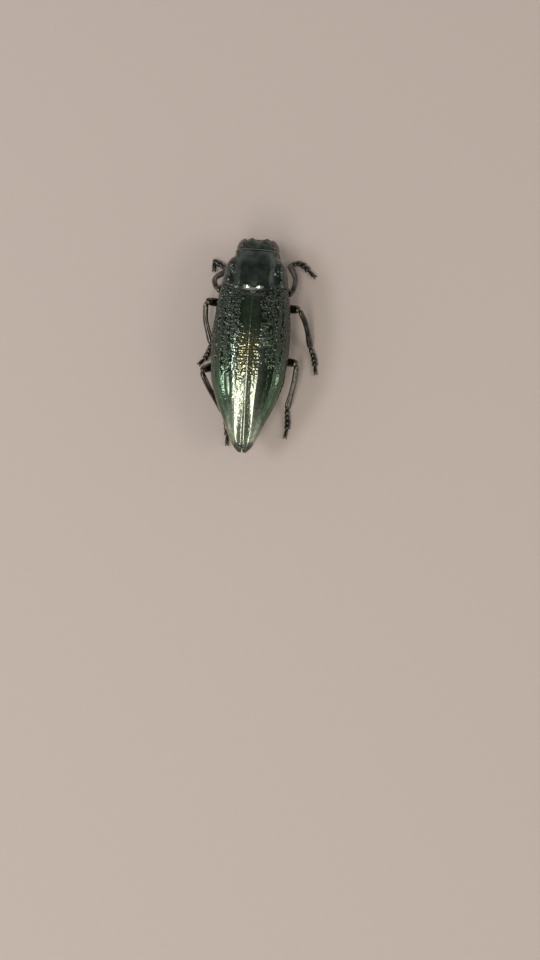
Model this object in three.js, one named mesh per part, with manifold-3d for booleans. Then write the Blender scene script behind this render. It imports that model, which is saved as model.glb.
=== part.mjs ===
// A life-size jewel beetle (family Buprestidae), standing still on six feet.
//
// Millimetres, +Z up, head towards +Y, the beetle's right side towards +X.
// The origin is on the floor, under the middle of the whole model's box.
//
// The body is drawn whole, as a few smooth lines that say how wide and how high it is at each
// place along its length, and is then parted by thin cuts where the plates of a real beetle meet.
// Lengths along the body are called s: 0 is at the tips of the wing cases, and 31 at the jaws.
// Heights of the body are told from its waterline, the edge where the upper plates meet the lower.

import * as THREE from 'three';
import { LoftGeometry } from 'three/addons/geometries/LoftGeometry.js';
import { mergeVertices } from 'three/addons/utils/BufferGeometryUtils.js';
import Module from 'manifold-3d';

const wasm = await Module();
wasm.setup();

// ---------------------------------------------------------------- driving dimensions

const STANCE = 4.95; // the waterline's height above the floor
const CUT = 0.07; // width of the thin cut between two plates
const SLIVER = 0.02; // cuts leave nothing finer than this
const UNDERCUT = 0.35; // how far the wing cases overhang the belly on each side
const TUCK = 0.12; // and the pronotum the plate below it

// Where one plate ends and the next begins, along the body.
const BASE = 23.5; // front of the wing cases, back of the pronotum
const COLLAR = 28.6; // front of the pronotum, back of the head
const NOSE = 30.55; // front of the head's capsule
const MESO_FRONT = 23.4;
const META_FRONT = 21;
const META_BACK = 14.9;
const BELLY_JOINTS = [13.95, 10.1, 7.2, 4.9, 3.0, 0.55];
const BELLY_LIP = 0.05;

// The body's lines, each a few [s, value] stations.
const ELYTRA_WIDTH = [
  [0, 0.5], [0.6, 1.12], [1.8, 1.86], [4.5, 3.07], [7.5, 4.36],
  [11, 5.32], [16, 5.65], [21.5, 5.22], [23.1, 4.9], [23.6, 4.55],
];
const ELYTRA_TOP = [
  [0, -0.35], [0.6, 0.2], [2, 0.95], [5, 1.95], [9, 2.8], [14, 3.3], [18, 3.4], [22, 3.1], [23.6, 2.6],
];
const WATERLINE = [[0, -0.75], [2, -0.6], [6, -0.32], [12, -0.1], [20, 0.05], [23.6, 0.1]];
const BELLY = [[0.5, -1.3], [2.5, -2.0], [6, -2.65], [10, -3.1], [15, -3.35], [19, -3.4], [23.5, -2.95]];
const PRONOTUM_WIDTH = [
  [23.5, 4.85], [24.3, 4.7], [25.7, 4.45], [26.5, 4.22], [27.1, 3.85], [27.6, 3.46], [28.05, 3.22], [28.6, 3.08],
];
const PRONOTUM_TOP = [[23.5, 2.72], [24.4, 2.95], [26, 3.0], [27.4, 2.7], [28.6, 2.2]];
const CARINA = [[23.5, 0.12], [26.5, 0.05], [28.6, 0.15]];
const THROAT = [[23.5, -2.95], [25.5, -3.05], [27.3, -2.6], [28.6, -2.05]];
const HEAD_WIDTH = [[28.6, 2.85], [29.5, 2.6], [30.0, 2.25], [30.36, 1.75], [30.55, 1.1]];
const HEAD_TOP = [[28.6, 2.02], [29.2, 1.92], [29.7, 1.65], [30.08, 1.2], [30.4, 0.45], [30.55, -0.1]];
const HEAD_UNDER = [[28.6, -1.9], [29.4, -2.3], [30.03, -2.35], [30.4, -2.0], [30.55, -1.6]];
const HEAD_MIDDLE = [[28.6, 0.1], [30.05, -0.4], [30.55, -0.8]]; // the widest level of the head

// How square the body is in section: 2 is an ellipse, and more is flatter on top.
const VAULT = 2.5;
const DISC_VAULT = 2.6;
const KEEL = 1.75;
const SKULL = 2.3;

// The back of the pronotum reaches back in a wide middle lobe, which the wing cases' front edge follows.
const LOBE = { depth: 0.85, inner: 1.6, outer: 4.2 };

// Ribs of the wing cases: the seam, four ribs, a fifth faint one, and the outer edge.
const RIBS = 6;
const RIB_SPREAD = 1.18; // above 1, the ribs stand closer together near the seam
const RIB_HEIGHTS = [0.11, 0.13, 0.13, 0.11, 0.1, 0.06];
const LOW_RIBS = { share: 0.5, from: 12.5, to: 8 }; // towards the tips the ribs are lower
// On the rugged flanks the pits eat the ribs away, and reach deeper between them.
const RUGGED = { rib: -0.07, hollow: -0.15, inner: 1.5, outer: 2.3, from: 9, to: 13.5 };
const RIB_CLOSING = { share: 0.6, length: 9 }; // towards the tips the ribs run together over this length
const TIP_NOTCH = { width: 0.16, length: 0.9 }; // the two tips stand a little apart
const SHOULDER = { s: 22.2, rib: 4, height: 0.16, spread: 0.9 };

// The little shield between the bases of the wing cases, lying in their slope.
const SHIELD = { half: 0.42, length: 0.55, front: 22.52, level: 23.2, thick: 0.7, slope: 0.3, proud: 0.02 };

// Relief of the pronotum: a long hollow on each side with a pit near its hind end and a hump before it,
// a groove inside each side, and a middle line.
const SIDE_HOLLOW = { inner: 2.5, curve: 0.08, middle: 25.6, step: 0.3, outer: 3.2, end: 4.1, depth: 0.17 };
const FOVEA = { x: 2.85, s: 24.55, wide: 0.6, long: 0.85, depth: 0.26 };
const HUMP = { x: 3.7, s: 26.9, wide: 0.5, long: 0.8, height: 0.22 };
const SIDE_GROOVE = { x: 2.55, wide: 0.35, from: 24.3, to: 28.3, fade: 1, depth: 0.09 };
const MIDDLE_LINE = { x: 0, wide: 0.3, from: 24, to: 28.3, fade: 1, depth: 0.06 };

// The tongue under the prothorax that reaches back between the front legs.
const TONGUE = { s: 24.7, z: -2.85, radii: [0.5, 2.1, 0.42] };

const EYE = { x: 2.27, s: 29.48, z: 0.05, radii: [0.66, 1.1, 1.4], lean: 0.22, toe: 0.45 };
const FRONS_GROOVE = { depth: 0.5, width: 0.5, from: 29.0, deepest: 30.0, until: 30.2 };
const MANDIBLE = {
  line: [[1.25, 29.85, -2.45], [1.15, 30.45, -2.5], [0.75, 30.72, -2.6], [0.2, 30.7, -2.7]],
  width: [[0, 0.42], [0.5, 0.38], [1, 0.16]],
  room: 0.56,
};
const LABRUM = { s: 30.7, z: -1.85, radius: 0.68, height: 0.3, flat: 0.55, tip: 0.35 };
const CHIN = { s: 29.7, z: -2.95, radii: [0.75, 0.75, 0.42] };
const PALP = { line: [[0.45, 29.8, -3.0], [0.85, 30.2, -3.15], [0.95, 30.65, -3.2]], width: 0.2 };

const LEG_SIDES = 8;
const FEMUR_WIDTH = [[0, 0.2], [0.05, 0.33], [0.2, 0.5], [0.45, 0.68], [0.8, 0.62], [0.94, 0.55], [1, 0.34]];
const TIBIA_WIDTH = [[0, 0.2], [0.05, 0.36], [0.15, 0.42], [0.6, 0.41], [0.9, 0.5], [0.97, 0.47], [1, 0.3]];
const JOINTED = [0, 0.05, 0.18, 0.36, 0.55, 0.75, 0.9, 0.97, 1]; // where femora and tibiae have their sections
const HIP_DROP = 0.45; // the femur joins its coxa low down
const FEMUR_SAG = 0.2;
const HEEL_DROP = 0.25; // and the foot its tibia
const FLAT = 0.85; // limbs are a little flatter than round
const COXA = { radius: 0.82, across: 10, down: 7 };

// Each leg's joints: x outwards from the middle, s along the body, z above the floor.
const LEGS = {
  front_right: { coxa: [1.3, 25.3, 2.2], knee: [5.3, 23.4, 3.7], ankle: [4.5, 28.4, 0.85],
    arch: [0.65, 0.1, 0.25], bend: [6.0, 28.85], toe: [8.2, 27.15] },
  front_left: { coxa: [1.3, 25.3, 2.2], knee: [5.7, 23.3, 3.7], ankle: [4.4, 27.0, 0.85],
    arch: [1.05, 0.1, 0.4], bend: [6.8, 28.2], toe: [6.8, 27.15] },
  middle_right: { coxa: [1.5, 21.7, 2.1], knee: [6.6, 21.2, 3.95], ankle: [8.55, 16.4, 0.85],
    arch: [0.15, 0.35, 0.1], bend: [9.2, 15.0], toe: [9.6, 12.9] },
  middle_left: { coxa: [1.5, 21.7, 2.1], knee: [7.05, 21.5, 3.95], ankle: [6.2, 15.9, 0.85],
    arch: [0.4, 0.1, 0.1], bend: [6.9, 14.0], toe: [7.75, 12.95] },
  hind_right: { coxa: [1.4, 14.3, 1.75], knee: [6.85, 13.45, 3.95], ankle: [5.85, 7.1, 0.85],
    arch: [0.2, 0.2, 0.15], bend: [6.1, 4.75], toe: [5.9, 3.1] },
  hind_left: { coxa: [1.4, 14.3, 1.75], knee: [7.0, 11.45, 3.75], ankle: [3.4, 5.7, 0.85],
    arch: [0.25, 0.1, 0.15], bend: [2.85, 3.4], toe: [2.7, 1.35] },
};
// A foot's line runs at this level, with lobed segments and then one that carries the claws.
const FOOT = { level: 0.27, lobes: 4, lobed: 0.72, waist: 0.3, lobe: 0.47, last: [0.27, 0.32] };
const CLAW = { length: 0.65, root: 0.35, spread: 0.24, width: [[0, 0.2], [0.6, 0.17], [1, 0.1]] };

const ANTENNA = { segments: 11, plain: 3, waist: 0.25, joint: 0.05, tooth: 0.2, sides: 6, tip: 0.14 };
const ANTENNA_LINE = [
  [0.9, 30.5, -0.4], [1.1, 30.85, -1.15], [2.1, 30.4, -2.0],
  [2.25, 29.5, -2.35], [2.2, 28.2, -2.5], [2.35, 26.7, -2.6],
];

// ---------------------------------------------------------------- colours

const FINISHES = {
  shell: { color: 0x2c4a34, metalness: 0.9, roughness: 0.3 },
  disc: { color: 0x232b26, metalness: 0.8, roughness: 0.4 },
  belly: { color: 0x3a4a30, metalness: 0.9, roughness: 0.35 },
  leg: { color: 0x3b3020, metalness: 0.8, roughness: 0.3 },
  eye: { color: 0x2a211c, metalness: 0.0, roughness: 0.2 },
  horn: { color: 0x1c1712, metalness: 0.1, roughness: 0.35 },
};
const materials = Object.fromEntries(
  Object.entries(FINISHES).map(([name, finish]) => [name, new THREE.MeshStandardMaterial(finish)]),
);

// ---------------------------------------------------------------- lines and solids

// A smooth line through a few [s, value] stations, that never overshoots them.
function line(stations) {
  const slope = (i) => (stations[i + 1][1] - stations[i][1]) / (stations[i + 1][0] - stations[i][0]);
  const tangents = stations.map((station, i) => {
    if (i === 0) return slope(0);
    if (i === stations.length - 1) return slope(i - 1);
    const before = slope(i - 1);
    const after = slope(i);
    return before * after <= 0 ? 0 : (2 * before * after) / (before + after);
  });
  return (s) => {
    const last = stations.length - 1;
    const x = Math.min(Math.max(s, stations[0][0]), stations[last][0]);
    let i = 0;
    while (i < last - 1 && x > stations[i + 1][0]) i += 1;
    const step = stations[i + 1][0] - stations[i][0];
    const t = (x - stations[i][0]) / step;
    return (
      stations[i][1] * (1 + 2 * t) * (1 - t) ** 2 +
      tangents[i] * step * t * (1 - t) ** 2 +
      stations[i + 1][1] * t * t * (3 - 2 * t) +
      tangents[i + 1] * step * t * t * (t - 1)
    );
  };
}

const elytraWidth = line(ELYTRA_WIDTH);
const elytraTop = line(ELYTRA_TOP);
const waterline = line(WATERLINE);
const belly = line(BELLY);
const pronotumWidth = line(PRONOTUM_WIDTH);
const pronotumTop = line(PRONOTUM_TOP);
const carina = line(CARINA);
const throat = line(THROAT);
const headWidth = line(HEAD_WIDTH);
const headTop = line(HEAD_TOP);
const headUnder = line(HEAD_UNDER);
const headMiddle = line(HEAD_MIDDLE);

// 0 at one place rising smoothly to 1 at another, whichever of the two comes first.
const smooth = (from, to, x) => THREE.MathUtils.smoothstep((x - from) / (to - from), 0, 1);
const bump = (x, middle, width) => Math.exp(-(((x - middle) / width) ** 2));

// A point of the body: x and s as they are, and a height told from the waterline.
const at = (x, s, height) => new THREE.Vector3(x, s, height + STANCE);

// Evenly spaced places from one to another.
const stations = (from, to, count) =>
  Array.from({ length: count + 1 }, (_, i) => from + ((to - from) * i) / count);

// Quarter of a squarish oval: angle 0 is over the middle and a right angle is out at the side.
function oval(angle, width, height, power) {
  return [width * Math.sin(angle) ** (2 / power), height * Math.cos(angle) ** (2 / power)];
}

function solidOf(geometry) {
  const bare = new THREE.BufferGeometry().setAttribute('position', geometry.getAttribute('position'));
  bare.setIndex(geometry.getIndex());
  const merged = mergeVertices(bare, 1e-4);
  const corners = merged.index.array;
  const kept = [];
  for (let i = 0; i < corners.length; i += 3) {
    const [a, b, c] = corners.slice(i, i + 3);
    if (a !== b && b !== c && c !== a) kept.push(a, b, c);
  }
  return new wasm.Manifold(
    new wasm.Mesh({
      numProp: 3,
      vertProperties: new Float32Array(merged.attributes.position.array),
      triVerts: new Uint32Array(kept),
    }),
  );
}

function geometryOf(solid) {
  const mesh = solid.simplify(SLIVER).getMesh();
  const geometry = new THREE.BufferGeometry();
  geometry.setAttribute('position', new THREE.BufferAttribute(new Float32Array(mesh.vertProperties), 3));
  geometry.setIndex(new THREE.BufferAttribute(new Uint32Array(mesh.triVerts), 1));
  geometry.computeVertexNormals();
  return geometry;
}

// A solid through closed sections, each end drawn together to a point in its middle.
function loft(sections) {
  const pole = (ring) => {
    const middle = ring.reduce((sum, p) => sum.add(p), new THREE.Vector3()).divideScalar(ring.length);
    return ring.map(() => middle);
  };
  return solidOf(new LoftGeometry([pole(sections[0]), ...sections, pole(sections.at(-1))]));
}

const mirrored = (solid) => solid.mirror([1, 0, 0]);

const beetle = new THREE.Group();
function add(name, solid, finish) {
  const mesh = new THREE.Mesh(geometryOf(solid), materials[finish]);
  mesh.name = name;
  beetle.add(mesh);
}

function addPair(name, rightSolid, finish) {
  add(`${name}_right`, rightSolid, finish);
  add(`${name}_left`, mirrored(rightSolid), finish);
}

// A limb of round or flattened section along a line of points, with its own width at each share of it.
function limb(points, width, { sides = LEG_SIDES, flat = 1, shares = stations(0, 1, 8), shape = null } = {}) {
  const curve = new THREE.CatmullRomCurve3(points, false, 'centripetal');
  const up = new THREE.Vector3(0, 0, 1);
  const sections = [];
  for (const share of shares) {
    const centre = curve.getPointAt(share);
    const along = curve.getTangentAt(share);
    const across = new THREE.Vector3().crossVectors(along, up).normalize();
    const over = new THREE.Vector3().crossVectors(across, along);
    const radius = width(share);
    sections.push(
      Array.from({ length: sides }, (_, k) => {
        const angle = (2 * Math.PI * (k + 0.5)) / sides;
        const reach = shape ? shape(share, angle) : 1;
        return centre
          .clone()
          .addScaledVector(across, radius * reach * Math.cos(angle))
          .addScaledVector(over, radius * flat * Math.sin(angle));
      }),
    );
  }
  return loft(sections.map((ring) => ring.reverse()));
}

// ---------------------------------------------------------------- wing cases

// Angle round the vault of one rib, counted from the seam (0) to the outer edge (RIBS).
function ribAngle(rib, s) {
  const closing = THREE.MathUtils.lerp(RIB_CLOSING.share, 1, smooth(0, RIB_CLOSING.length, s));
  return (Math.PI / 2) * (rib / RIBS) ** (RIB_SPREAD * closing);
}

const baseLine = (x) => -LOBE.depth * smooth(LOBE.outer, LOBE.inner, Math.abs(x));

function elytronSection(s) {
  const width = elytraWidth(s);
  const edge = waterline(s);
  const height = elytraTop(s) - edge;
  const seam = CUT / 2 + TIP_NOTCH.width * (1 - Math.min(s / TIP_NOTCH.length, 1)) ** 2;
  const fadeOut = smooth(0.2, 2, s) * smooth(BASE, BASE - 1.5, s);
  const forward = smooth(BASE - 2.5, BASE, s);
  const shoulder = SHOULDER.height * bump(s, SHOULDER.s, SHOULDER.spread);
  const ribShare = 1 - LOW_RIBS.share * smooth(LOW_RIBS.from, LOW_RIBS.to, s);
  const eaten = smooth(RUGGED.from, RUGGED.to, s);
  const ring = [];
  for (let half = 0; half <= 2 * RIBS; half += 1) {
    const rib = half / 2;
    const [x, z] = oval(ribAngle(rib, s), width, height, VAULT);
    const onRib = half % 2 === 0;
    const plain = onRib ? (RIB_HEIGHTS[rib] ?? 0) * ribShare : 0;
    const flank = eaten * smooth(RUGGED.inner, RUGGED.outer, rib);
    const crest = THREE.MathUtils.lerp(plain, onRib ? RUGGED.rib : RUGGED.hollow, flank);
    const lift = crest * fadeOut + shoulder * bump(rib, SHOULDER.rib, SHOULDER.spread);
    const outX = Math.max(x + (lift * x) / width, seam);
    ring.push(at(outX, s + forward * baseLine(outX), edge + z + lift * (z / (height + 0.01))));
  }
  for (let k = 1; k <= 3; k += 1) {
    const x = THREE.MathUtils.lerp(width, seam, k / 3);
    ring.push(at(x, s + forward * baseLine(x), edge));
  }
  return ring;
}

function makeElytra() {
  const places = [0, 0.25, 0.6, 1.1, 1.8, ...stations(2.8, BASE - 1, 18), BASE - 0.55, BASE - 0.15, BASE];
  const right = loft(places.map(elytronSection)).subtract(scutellumSolid(1.4 * CUT, 1));
  addPair('elytron', right, 'shell');
}

// The shield, or a larger one that rises out of the wing cases to cut its place in them.
function scutellumSolid(grow, rise) {
  const half = SHIELD.half + grow;
  const length = SHIELD.length + grow;
  const outline = new THREE.Shape();
  outline.moveTo(-half, rise);
  if (rise > 0) outline.lineTo(-half, 0);
  outline.quadraticCurveTo(-half * 1.15, -length * 0.6, 0, -length);
  outline.quadraticCurveTo(half * 1.15, -length * 0.6, half, 0);
  if (rise > 0) outline.lineTo(half, rise);
  outline.closePath();
  const plate = new THREE.ExtrudeGeometry(outline, {
    depth: SHIELD.thick + grow + rise,
    bevelEnabled: false,
    curveSegments: 4,
  });
  plate.translate(0, 0, -SHIELD.thick - grow).rotateX(-SHIELD.slope);
  return solidOf(plate.translate(0, SHIELD.front, STANCE + elytraTop(SHIELD.level) + SHIELD.proud));
}

function makeScutellum() {
  add('scutellum', scutellumSolid(0, 0), 'shell');
}

// ---------------------------------------------------------------- prothorax

function pronotumRelief(x, s) {
  const side = Math.abs(x);
  const pit = FOVEA.depth * bump(side, FOVEA.x, FOVEA.wide) * bump(s, FOVEA.s, FOVEA.long);
  const inner = SIDE_HOLLOW.inner + SIDE_HOLLOW.curve * (s - SIDE_HOLLOW.middle) ** 2;
  const hollow = smooth(inner, inner + SIDE_HOLLOW.step, side) * smooth(SIDE_HOLLOW.end, SIDE_HOLLOW.outer, side);
  const groove = ({ x: middle, wide, from, to, fade, depth }) =>
    depth * bump(side, middle, wide) * smooth(from, from + fade, s) * smooth(to, to - fade, s);
  const hump = HUMP.height * bump(side, HUMP.x, HUMP.wide) * bump(s, HUMP.s, HUMP.long);
  return hump - pit - SIDE_HOLLOW.depth * hollow - groove(SIDE_GROOVE) - groove(MIDDLE_LINE);
}

function pronotumSection(s) {
  const width = pronotumWidth(s);
  const edge = carina(s);
  const height = pronotumTop(s) - edge;
  const backward = smooth(BASE + 1.6, BASE, s);
  const columns = 18;
  const ring = [];
  for (let k = 0; k <= columns; k += 1) {
    const angle = (Math.PI / 2) * (k / (columns / 2) - 1);
    const [x, z] = oval(Math.abs(angle), width, height, DISC_VAULT);
    const across = Math.sign(angle) * x;
    ring.push(at(across, s + backward * baseLine(across), edge + z + pronotumRelief(across, s)));
  }
  for (let k = 1; k < 4; k += 1) {
    const across = width * (1 - k / 2);
    ring.push(at(across, s + backward * baseLine(across), edge));
  }
  return ring;
}

function makeProthorax() {
  const front = COLLAR - 0.05;
  const places = [BASE + 2 * CUT, BASE + 0.35, BASE + 0.8, ...stations(BASE + 1.4, front - 0.4, 7), front];
  add('pronotum', loft(places.map(pronotumSection)), 'disc');

  const lower = loft(
    stations(BASE + 0.2, front - 0.1, 5).map((s) =>
      underSection(s, pronotumWidth(s) - TUCK, carina(s), throat(s)),
    ),
  );
  add('prosternum', lower.add(tongueSolid(0)).subtract(coxaPair('front', CUT)), 'belly');
}

function tongueSolid(grow) {
  const ball = new THREE.SphereGeometry(1, 8, 6).scale(...TONGUE.radii.map((r) => r + grow));
  return solidOf(ball.translate(0, TONGUE.s, TONGUE.z + STANCE));
}

// ---------------------------------------------------------------- underside

// A slice of the body under its waterline, flat on top.
function underSection(s, width, edge, bottom) {
  const columns = 10;
  const ring = [];
  for (let k = 0; k <= columns; k += 1) {
    const angle = (Math.PI / 2) * (1 - (2 * k) / columns);
    const [x, z] = oval(Math.abs(angle), width, edge - CUT - bottom, KEEL);
    ring.push(at(Math.sign(angle) * x, s, edge - CUT - z));
  }
  for (let k = 1; k < 3; k += 1) ring.push(at(width * ((2 * k) / 3 - 1), s, edge - CUT));
  return ring;
}

// A piece of the belly. Its hind edge stands out by a lip over the piece behind it.
function bellySlice(from, to, count, lip = 0) {
  return loft(
    stations(from, to, count).map((s) => {
      const out = lip * (1 - (s - from) / (to - from));
      const width = elytraWidth(s) - Math.min(UNDERCUT, elytraWidth(s) * 0.3) + out;
      return underSection(s, width, waterline(s), belly(s) - out);
    }),
  );
}

// The whole underside a cut's width larger, which the legs lie clear of.
const bellyGrown = loft(
  stations(0.6, COLLAR, 14).map((s) => {
    const grow = BELLY_LIP * 2 + CUT;
    return s < BASE
      ? underSection(s, elytraWidth(s) - UNDERCUT + grow, waterline(s) + CUT, belly(s) - grow)
      : underSection(s, pronotumWidth(s) - TUCK + grow, carina(s) + CUT, throat(s) - grow);
  }),
);

function makeUnderside() {
  const sockets = coxaPair('middle', CUT);
  const meso = bellySlice(META_FRONT + CUT, MESO_FRONT, 3);
  add('mesosternum', meso.subtract(sockets).subtract(tongueSolid(CUT)), 'belly');
  add('metasternum', bellySlice(META_BACK, META_FRONT, 6).subtract(sockets), 'belly');
  for (let n = 1; n < BELLY_JOINTS.length; n += 1) {
    const ring = bellySlice(BELLY_JOINTS[n] + CUT, BELLY_JOINTS[n - 1], 3, BELLY_LIP);
    add(`abdomen_${n}`, ring, 'belly');
  }
}

// ---------------------------------------------------------------- head

function fronsGroove(x, s) {
  const { depth, width, from, deepest, until } = FRONS_GROOVE;
  return depth * bump(x, 0, width) * smooth(from, deepest, s) * smooth(NOSE + 0.05, until, s);
}

function headSection(s) {
  const width = headWidth(s);
  const middle = headMiddle(s);
  const columns = 18;
  return Array.from({ length: columns }, (_, k) => {
    const angle = (2 * Math.PI * k) / columns - Math.PI / 2;
    const above = Math.cos(angle) >= 0;
    const height = above ? headTop(s) - middle : middle - headUnder(s);
    const [x, z] = oval(Math.abs(Math.asin(Math.sin(angle))), width, height, SKULL);
    const across = Math.sign(Math.sin(angle)) * x;
    return at(across, s, middle + (above ? z - fronsGroove(across, s) : -z));
  });
}

function eyeSolid(grow) {
  const ball = new THREE.SphereGeometry(1, 12, 8).scale(...EYE.radii.map((r) => r + grow));
  return solidOf(ball.rotateY(-EYE.lean).rotateZ(EYE.toe).translate(EYE.x, EYE.s, EYE.z + STANCE));
}

// Points given for the right side, as vectors on the side asked for.
const placed = (points, side = 1) => points.map(([x, s, z]) => at(side * x, s, z));

// A simple limb of one width, used to clear room in the head.
const tunnel = (points, radius) => limb(placed(points), () => radius, { sides: 6, shares: stations(0, 1, 3) });

function makeHead() {
  const places = [COLLAR + CUT / 2, 29.1, 29.45, 29.75, 30.0, 30.2, 30.36, 30.48, NOSE];
  const capsule = loft(places.map(headSection));
  const [root, bend, middle, end] = MANDIBLE.line;
  const room = eyeSolid(CUT)
    .add(tunnel([[root[0], 29.6, root[2]], bend, middle, [-end[0], 31.0, end[2]]], MANDIBLE.room))
    .add(tunnel(ANTENNA_LINE.slice(0, 3), ANTENNA.waist + ANTENNA.tooth));
  add('head', capsule.subtract(room).subtract(mirrored(room)), 'disc');
  addPair('eye', eyeSolid(0).trimByPlane([0, 1, 0], COLLAR + CUT / 2), 'eye');
  const jaw = limb(placed(MANDIBLE.line), line(MANDIBLE.width), { sides: 6, shares: stations(0, 1, 5) });
  addPair('mandible', jaw, 'horn');

  const lip = new THREE.CylinderGeometry(LABRUM.radius, LABRUM.radius, LABRUM.height, 12);
  lip.scale(1, 1, LABRUM.flat).rotateX(LABRUM.tip).translate(0, LABRUM.s, LABRUM.z + STANCE);
  add('labrum', solidOf(lip).subtract(capsule.translate([0, 2 * CUT, 0])), 'horn');

  const chin = new THREE.SphereGeometry(1, 10, 6).scale(...CHIN.radii);
  const palps = [1, -1].map((side) =>
    limb(placed(PALP.line, side), () => PALP.width, { sides: 5, shares: stations(0, 1, 3) }),
  );
  const mouth = solidOf(chin.translate(0, CHIN.s, CHIN.z + STANCE)).add(palps[0]).add(palps[1]);
  add('mouthparts', mouth, 'horn');
}

// A feeler of short joints, the outer ones drawn out into teeth along one side.
function antennaSolid() {
  const swollen = (share) => {
    const place = share * ANTENNA.segments;
    return place - Math.floor(place + 1e-6) > 0.25;
  };
  const width = (share) => (share > 0.97 ? ANTENNA.tip : ANTENNA.waist + (swollen(share) ? ANTENNA.joint : 0));
  const shape = (share, angle) => {
    const toothed = share * ANTENNA.segments > ANTENNA.plain && swollen(share) && Math.cos(angle) < 0;
    return toothed ? 1 + ANTENNA.tooth / ANTENNA.waist : 1;
  };
  const shares = stations(0, 1, ANTENNA.segments * 2);
  return limb(placed(ANTENNA_LINE), width, { sides: ANTENNA.sides, shares, shape });
}

// ---------------------------------------------------------------- legs

function coxaSolid([x, s, z], side, grow) {
  const ball = new THREE.SphereGeometry(COXA.radius + grow, COXA.across, COXA.down).scale(1, 1, FLAT);
  return solidOf(ball.translate(side * x, s, z));
}

// Both round coxae of a pair of legs, grown to cut their sockets with.
function coxaPair(pair, grow) {
  const { coxa } = LEGS[`${pair}_right`];
  return coxaSolid(coxa, 1, grow).add(coxaSolid(coxa, -1, grow));
}

// One hind coxa is a plate across half of the belly.
function hindCoxaSolid() {
  const plate = bellySlice(BELLY_JOINTS[0] + CUT, META_BACK - CUT, 2, BELLY_LIP);
  const rightHalf = new THREE.BoxGeometry(10, 40, 20).translate(5 + CUT / 2, META_BACK, STANCE);
  return plate.intersect(solidOf(rightHalf));
}

// A femur or a tibia, or the same one grown all round to cut its neighbour with.
function jointed(points, widths, grow) {
  const width = line(widths);
  return limb(points, (share) => width(share) + grow, { shares: JOINTED, flat: FLAT });
}

// What is left of a solid when the crumbs beyond a cut are dropped.
function largest(solid) {
  return solid.decompose().reduce((most, part) => (part.volume() > most.volume() ? part : most));
}

function clawSolid(toe, ahead, aside) {
  const points = [0, 0.45, 0.85, 1].map((t) =>
    toe
      .clone()
      .addScaledVector(ahead, (t - CLAW.root) * CLAW.length)
      .addScaledVector(aside, CLAW.spread * t)
      .setZ(toe.z + 0.08 + 0.12 * Math.sin(Math.PI * t) - 0.16 * t * t),
  );
  return limb(points, line(CLAW.width), { sides: 5, shares: stations(0, 1, 3) });
}

// The foot: lobed segments in a row, then a thin one with two claws, and all their soles cut flat.
function footSolid(from, bend, toe) {
  const width = (share) => {
    const beyond = (share - FOOT.lobed) / (1 - FOOT.lobed);
    if (beyond > 0) return THREE.MathUtils.lerp(...FOOT.last, beyond);
    const place = (share / FOOT.lobed) * FOOT.lobes;
    const within = place - Math.floor(place + 1e-6);
    const grown = Math.min(0.8 + 0.1 * place, 1);
    return (within > 0.3 ? FOOT.lobe : FOOT.waist) * grown;
  };
  const shares = stations(0, 1, FOOT.lobes * 2 + 3);
  const foot = limb([from, bend, toe], width, { sides: 6, shares, flat: FLAT });
  const ahead = new THREE.Vector3().subVectors(toe, bend).setZ(0).normalize();
  const aside = new THREE.Vector3(-ahead.y, ahead.x, 0);
  const claws = clawSolid(toe, ahead, aside).add(clawSolid(toe, ahead, aside.negate()));
  const aboveFloor = new THREE.BoxGeometry(60, 80, 20).translate(0, META_BACK, 10);
  return foot.add(claws).intersect(solidOf(aboveFloor));
}

function makeLeg(name, leg) {
  const side = name.endsWith('right') ? 1 : -1;
  const place = ([x, s, z]) => new THREE.Vector3(side * x, s, z);
  const knee = place(leg.knee);
  const ankle = place(leg.ankle);
  const hip = place(leg.coxa);
  hip.z -= HIP_DROP;

  const sag = new THREE.Vector3().lerpVectors(hip, knee, 0.5);
  sag.z -= FEMUR_SAG;
  const femur = (grow) => jointed([hip, sag, knee], FEMUR_WIDTH, grow);
  const socket = name.startsWith('hind') ? bellyGrown : bellyGrown.add(coxaSolid(leg.coxa, side, CUT));
  add(`femur_${name}`, largest(femur(0).subtract(socket)), 'leg');

  const inKnee = new THREE.Vector3().lerpVectors(knee, ankle, 0.02);
  const arch = place(leg.arch);
  const shin = new THREE.Vector3().lerpVectors(knee, ankle, 0.45).add(arch);
  const tibia = (grow) => jointed([inKnee, shin, ankle], TIBIA_WIDTH, grow);
  add(`tibia_${name}`, largest(tibia(0).subtract(femur(CUT))), 'leg');

  const bend = place([...leg.bend, FOOT.level]);
  const heel = ankle.clone().lerp(bend, 0.03);
  heel.z -= HEEL_DROP;
  const foot = footSolid(heel, bend, place([...leg.toe, FOOT.level]));
  add(`tarsus_${name}`, largest(foot.subtract(tibia(CUT))), 'leg');
}

function makeLegs() {
  for (const pair of ['front', 'middle']) {
    addPair(`coxa_${pair}`, coxaSolid(LEGS[`${pair}_right`].coxa, 1, 0), 'belly');
  }
  addPair('coxa_hind', hindCoxaSolid(), 'belly');
  for (const [name, leg] of Object.entries(LEGS)) makeLeg(name, leg);
}

// ---------------------------------------------------------------- the whole

makeElytra();
makeScutellum();
makeProthorax();
makeUnderside();
makeHead();
addPair('antenna', antennaSolid(), 'horn');
makeLegs();

// The origin goes to the floor, under the middle of the whole model's box.
const box = new THREE.Box3().setFromObject(beetle);
beetle.position.set(-(box.min.x + box.max.x) / 2, -(box.min.y + box.max.y) / 2, 0);

export default beetle;
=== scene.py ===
"""The looks of a life-size jewel beetle (family Buprestidae) that stands still on its six feet.

Every piece is modelled in millimetres, as x across the body (the beetle's right is plus), s along it
from the tips of the wing cases to the jaws, and z above the floor. A finished piece is then put in the
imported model's own frame, in metres, where it stands for the solid of the same name.
"""

from __future__ import annotations

import logging
import math
import sys
from dataclasses import dataclass
from enum import Enum
from typing import Any, Callable, Iterable, Sequence

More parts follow.
